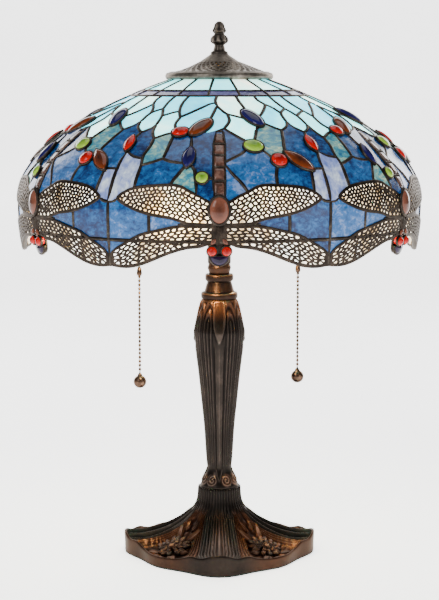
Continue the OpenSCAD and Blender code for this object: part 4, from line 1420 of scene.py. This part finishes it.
def base_point(a, k, out):
    """A point of the slope, out millimetres above the plain surface."""
    (r0, z0), (r1, z1) = flare(a, max(0.0, k - 0.01)), flare(a, min(1.0, k + 0.01))
    length = math.hypot(r1 - r0, z1 - z0)
    r, z = flare(a, clamp(k))
    return polar(r - out * (z1 - z0) / length, a, z + out * (r1 - r0) / length)


base = Shape("relief", "copper")
TURNS = 600
COLLAR = [(5.7, 69), (20.2, 69), (21.1, 68.8), (21.5, 68.0)]
COLLAR += dense([(21.6, 67), (22.0, 60), (22.9, 54), (24.7, 49.6), (27.3, 46), (29.2, 43.4)], 1.9)
SLOPE = [i / 46 * 0.955 for i in range(47)]
LIP = [(-2.4, -0.9), (-2.1, 0.1), (-1.3, 0.7), (-0.5, 0.5), (-0.1, -0.3)]


def base_section(a):
    """(r, z, height, copper) down one section: collar, slope, lip and side, then back up the hollow."""
    section = []
    for r, z in COLLAR:
        height, copper = base_relief(a, 0, z)
        height *= ease(r, 20.5, 21.5)
        section.append((r + height, z, height, copper))
    for k in SLOPE:
        height, copper = base_relief(a, k, 40)
        x, y, z = base_point(a, k, height)
        section.append((math.hypot(x, y), z, height, copper))
    edge_r, top = base_edge(a), lip_height(a)
    side = 0.02 + 0.22 * ease(abs(math.cos(a)), 0.2, 0.6)
    for dr, dz in LIP:
        section.append((edge_r + dr, top + dz, 0.6 if dr in (-1.3, -0.5) else 0.1, side))
    for v in [i / 9 for i in range(1, 9)]:
        r = edge_r - 0.25 + 0.25 * math.cos(math.pi * v)
        section.append((r, top - 0.3 + (BASE_LOW + 0.5 - top) * v, 0.05, side))
    section += [(edge_r - 0.4, BASE_LOW, 0, side), (edge_r - WALL, BASE_LOW, 0, 0)]
    for k in (0.96, 0.75, 0.5, 0.25, 0.1, 0.0):
        r, z = flare(a, k)
        section.append((r - WALL, min(z - WALL - 0.5, 60), 0, 0))
    return section + [(17, 50, 0, 0), (16, 58, 0, 0), (5.7, 58, 0, 0)]


verts, heights, coppers = [], [], []
for j in range(TURNS):
    a = math.tau * j / TURNS
    for r, z, height, copper in base_section(a):
        verts.append(polar(r, a, z))
        heights.append(clamp(0.22 + 0.27 * height))
        coppers.append(copper)
cols = len(verts) // TURNS
faces = []
for face in grid_faces(TURNS, cols, wrap_rows=True, wrap_cols=True):
    x, y, z = (sum(verts[i][n] for i in face) / 4 for n in range(3))
    if y < 80 or math.hypot(x, z - BUSHING_Z) > 5.1 or z > 16:
        faces.append(face)
base.add(verts, faces, relief=heights, copper=coppers)


def on_panel(a0, k0, x, y, out):
    """A point x across and y down the slope from (a0, k0)."""
    k = k0 + y / 64
    r, _ = flare(a0, clamp(k))
    return base_point(a0 + x / r, min(0.985, max(0.0, k)), out)


def petal(a0, k0, x0, y0, turn, length, width, low, high, curled, ribs, copper, blunt=0.75):
    """A raised leaf or petal from (x0, y0), growing in the turn direction: 0 points down the slope."""
    c, s = math.cos(math.radians(turn)), math.sin(math.radians(turn))
    outer, inner, relief = [], [], []
    rows, cols = 9, 7
    for i in range(rows):
        v = i / (rows - 1)
        half = width / 2 * math.sin(math.pi * (0.06 + 0.9 * v ** blunt)) ** 0.8
        top, low_row = [], []
        for j in range(cols):
            u = 2 * j / (cols - 1) - 1
            along, across = length * v, half * u
            x, y = x0 + along * s + across * c, y0 + along * c - across * s
            swell = (0.45 + 0.55 * (1 - abs(u) ** 2.4)) * math.sin(math.pi * (0.18 + 0.62 * v))
            height = low + (high - low) * swell - curled * ridge(u, 0.35)
            height += 0.35 * math.cos(u * ribs * math.pi) if ribs else 0
            top.append(on_panel(a0, k0, x, y, height))
            low_row.append(on_panel(a0, k0, x, y, -1.6))
            rubbed = 0.2 if abs(u) > 0.8 else 0
            relief.append(clamp(0.05 + 0.5 * (height - low) / max(0.5, high - low) + rubbed))
        outer.append(top)
        inner.append(low_row)
    solid_patch(base, outer, inner, relief=relief + [0.1] * len(relief), copper=copper)


def boss(a0, k0, x0, y0, radius, out):
    """A small round stud."""
    rows, cols = 5, 10
    verts = []
    for t in [math.pi / 2 * i / 4 * 0.97 - 0.3 for i in range(rows)]:
        reach = radius * math.cos(t)
        for a in [math.tau * j / cols for j in range(cols)]:
            x, y = x0 + reach * math.cos(a), y0 + reach * math.sin(a)
            verts.append(on_panel(a0, k0, x, y, out + radius * math.sin(t)))
    faces = grid_faces(rows, cols, wrap_cols=True) + [tuple((rows - 1) * cols + j for j in range(cols))]
    base.add(verts, faces, relief=0.85, copper=0.5)


# Leaves on each side: x, y, turn, length, width and height. Whorls: count, reach, length, width and height
LEAVES = [(9, 14, 52, 17, 8, 2.6), (12, 4, 84, 14, 7, 2.8), (7, -14, 150, 17, 7.5, 2.6),
          (2, 18, 24, 13, 7, 2.2), (4, -24, 166, 11, 5, 2.0)]
WHORLS = [(13, 7.5, 10.5, 5.2, 4.2), (9, 4.0, 8.0, 4.4, 5.2), (6, 1.4, 5.2, 3.4, 5.8)]
rng = random.Random(3)
for i in range(4):
    a0 = math.radians(45 + 90 * i)
    k0 = 0.6
    for side in (-1, 1):
        for x, y, turn, length, width, high in LEAVES:
            copper = 0.15 + 0.4 * rng.random()
            petal(a0, k0, side * x * 0.8, y, side * turn, length, width, -0.8, high, 0.6, 3, copper)
    for ring, (count, reach, length, width, high) in enumerate(WHORLS):
        for n in range(count):
            turn = 360 * (n + 0.5 * ring) / count + rng.uniform(-6, 6)
            x, y = reach * math.sin(math.radians(turn)), reach * math.cos(math.radians(turn))
            copper = 0.05 + 0.25 * rng.random()
            petal(a0, k0, x, y, turn, length, width, 0.6 + ring, high, 1.1, 0, copper, 1.1)
    for n in range(7):
        t = math.tau * n / 6
        x, y = (1.7 * math.cos(t), 1.7 * math.sin(t)) if n < 6 else (0, 0)
        boss(a0, k0, x, y, 1.0, 5.2)
base.piece("base_relief", M["bronze"], "root", "base_bronze", ["base_casting"], crease=55)


# --- Sockets, bulbs and pull chains -------------------------------------------------------------------

SOCKET_TURN, SOCKET_TILT, SOCKET_Z = math.radians(244.5), math.radians(10.2), 334
GLOBE_X, BULB_R, CAP_END = 102, 24, 67.3
GUIDE_X, GUIDE_Y = 48.2, 66.1
BALL_Z, BALL_R, BEAD_R, BEAD_PITCH, LINK_R = 180, 6.5, 1.5, 4.1, 0.5
COUPLING = (288, 297)
CHAIN_TOP = SOCKET_Z + GUIDE_X * math.tan(SOCKET_TILT) - 1.4


def from_socket(k, x, y, z):
    """Moves a point from a socket's own frame, with its axis on +X: k is 0 in front and 1 behind."""
    c, s = math.cos(SOCKET_TILT), math.sin(SOCKET_TILT)
    x, z = x * c - z * s, x * s + z * c
    turn = SOCKET_TURN + math.pi * k
    return x * math.cos(turn) - y * math.sin(turn), x * math.sin(turn) + y * math.cos(turn), z + SOCKET_Z


def on_axis(k, line):
    """Turns (r, x) points round a socket's axis."""
    verts, faces = lathe(line, 48)
    return [from_socket(k, x, a, b) for a, b, x in verts], faces


def chain_line():
    """(r, z) down a chain: beads on thin links, the bell coupling, more beads, and the ball."""
    line = [(0.02, CHAIN_TOP)]
    for top, low in ((CHAIN_TOP, COUPLING[1] - 0.5), (COUPLING[0] + 0.5, BALL_Z + BALL_R)):
        for i in range(int((top - low) // BEAD_PITCH)):
            z = top - BEAD_R - i * BEAD_PITCH
            for t in (58, 35, 12, -12, -35, -58):
                line.append((BEAD_R * math.cos(math.radians(t)), z + BEAD_R * math.sin(math.radians(t))))
            line += [(LINK_R, z - BEAD_R * 0.97), (LINK_R * 0.8, z - BEAD_PITCH / 2),
                     (LINK_R, z - BEAD_PITCH + BEAD_R * 0.97)]
        if low > COUPLING[0]:
            line += [(0.7, 297.3), (1.4, 296.9), (1.7, 296.1), (1.7, 295.5), (2.1, 294.9), (2.35, 293.6),
                     (2.6, 291.4), (2.75, 290.4), (2.6, 289.4), (2.15, 288.9), (2.15, 288.3),
                     (1.5, 288.0), (0.6, 288.2)]
    crown = BALL_Z + BALL_R
    line += [(1.2, crown + 1.8), (1.9, crown + 1.4), (2.3, crown + 0.5), (2.4, crown - 0.4)]
    line += [(BALL_R * math.cos(math.radians(t)), BALL_Z + BALL_R * math.sin(math.radians(t)))
             for t in range(66, -84, -8)]
    return line + [(0.02, BALL_Z - BALL_R + 0.05)]


for k, side in enumerate(("front", "back")):
    envelope = Shape()
    neck = spline([(12.4, CAP_END), (12.9, 68.6), (13.2, 72), (14.2, 77), (16.4, 82.6), (19.2, 87.8)], 4)
    globe = [(BULB_R * math.sin(math.radians(t)), GLOBE_X + BULB_R * math.cos(math.radians(t)))
             for t in range(118, 0, -5)]
    envelope.add(*on_axis(k, [(0.02, CAP_END)] + neck + globe + [(0.02, GLOBE_X + BULB_R)]))
    envelope.piece("bulb_envelope_" + side, M["bulb"], "bulb_" + side, "bulb_glass", ["bulb_" + side])
    threads = [(0.02, 43.3), (3.6, 43.3), (4.6, 44.0), (5.4, 45.4), (9.8, 47.2), (12.0, 49.6)]
    for i in range(5):
        threads += [(13.05, 51.0 + i * 2.9), (12.3, 52.4 + i * 2.9)]
    threads += [(13.0, 65.4), (12.6, 67.1), (0.02, 67.15)]
    cap = Shape()
    cap.add(*on_axis(k, spline(threads, 3)))
    cap.piece("bulb_screw_cap_" + side, M["nickel"], "bulb_" + side, "bulb_metal", ["bulb_cap_" + side])

for k, side in enumerate(("left", "right")):
    turn = SOCKET_TURN + math.pi * k
    cx = GUIDE_X * math.cos(turn) + GUIDE_Y * math.sin(turn)
    cy = GUIDE_X * math.sin(turn) - GUIDE_Y * math.cos(turn)
    verts, faces = lathe(chain_line(), 16)
    hung = Shape()
    hung.add([(x + cx, y + cy, z) for x, y, z in verts], faces)
    hung.piece("chain_beads_" + side, M["chain"], "pull_" + side, "chain_bronze", ["pull_chain_" + side])

# The CAD pieces that show as they are: only their finish is set here
FINISHES = {"felt_pad": "felt", "base_nut": "brass", "base_washer": "steel", "ballast_plate": "steel",
            "base_spacer": "steel", "cord_bushing": "plastic", "stem_tube": "brass",
            "cluster_body": "brass", "riser_rod": "brass", "shade_seat_nut": "brass",
            "shade_spider": "brass", "shade_top_ring": "brass"}
for side in ("front", "back"):
    FINISHES.update({"socket_cap_" + side: "brass", "socket_shell_" + side: "brass", "socket_liner_"
                     + side: "plastic", "screw_shell_" + side: "brass", "socket_contact_"
                     + side: "porcelain", "chain_guide_" + side: "chain"})
for name, finish in FINISHES.items():
    mesh = NODES[name].data
    mesh.materials.clear()
    mesh.materials.append(M[finish])


# --- Camera, light and floor --------------------------------------------------------------------------

camera = bpy.data.objects.new("camera", bpy.data.cameras.new("camera"))
bpy.context.scene.collection.objects.link(camera)
camera.location = (0, -1.652, 0.483)
camera.rotation_euler = (math.radians(90 - 7.64), 0, 0)
camera.data.sensor_width = 36
camera.data.lens = 1640 * 36 / 600
camera.data.shift_x = (219.5 - 219.3) / 600
bpy.context.scene.camera = camera

world = bpy.data.worlds.new("studio")
bpy.context.scene.world = world
world.use_nodes = True
world.node_tree.nodes["Background"].inputs["Color"].default_value = (1.0, 1.0, 1.0, 1)
world.node_tree.nodes["Background"].inputs["Strength"].default_value = 0.3


def area_light(name, place, aim, size, watts):
    lamp = bpy.data.objects.new(name, bpy.data.lights.new(name, "AREA"))
    lamp.data.shape = "RECTANGLE"
    lamp.data.size, lamp.data.size_y = size
    lamp.data.energy = watts
    lamp.location = place
    lamp.rotation_euler = (Vector(aim) - Vector(place)).to_track_quat("-Z", "Y").to_euler()
    bpy.context.scene.collection.objects.link(lamp)


area_light("key", (-1.3, -1.7, 1.5), (0, 0, 0.3), (0.9, 1.2), 26)
area_light("fill", (1.6, -1.5, 0.8), (0, 0, 0.25), (0.8, 1.4), 11)
area_light("top", (0, 0.2, 1.9), (0, 0, 0.4), (1.2, 1.2), 10)
area_light("rim_left", (-1.2, 1.3, 0.9), (0, 0, 0.3), (0.6, 1.2), 14)
area_light("rim_right", (1.2, 1.3, 0.9), (0, 0, 0.3), (0.6, 1.2), 14)

floor_mesh = bpy.data.meshes.new("floor")
reach, back, rise, bend = 7.0, 6.5, 6.0, 1.6
line = [(-reach, 0.0), (back - bend, 0.0)]
angles = [math.pi / 2 * i / 12 for i in range(1, 13)]
line += [(back - bend + bend * math.sin(t), bend - bend * math.cos(t)) for t in angles]
line += [(back, rise)]
floor_mesh.from_pydata([(x, y, z) for y, z in line for x in (-reach, reach)], [],
                       [(2 * i, 2 * i + 1, 2 * i + 3, 2 * i + 2) for i in range(len(line) - 1)])
floor_mesh.polygons.foreach_set("use_smooth", [True] * len(floor_mesh.polygons))
floor_paint = Paint("studio_floor", roughness=0.7)
white = floor_paint.ramp(floor_paint.noise(3, 2), [(0.3, (0.90, 0.90, 0.90)), (0.7, (0.93, 0.93, 0.93))])
floor_paint.colour(white)
floor_paint.glow(white, 2.7)
floor_mesh.materials.append(floor_paint.material)
floor = bpy.data.objects.new("floor", floor_mesh)
bpy.context.scene.collection.objects.link(floor)
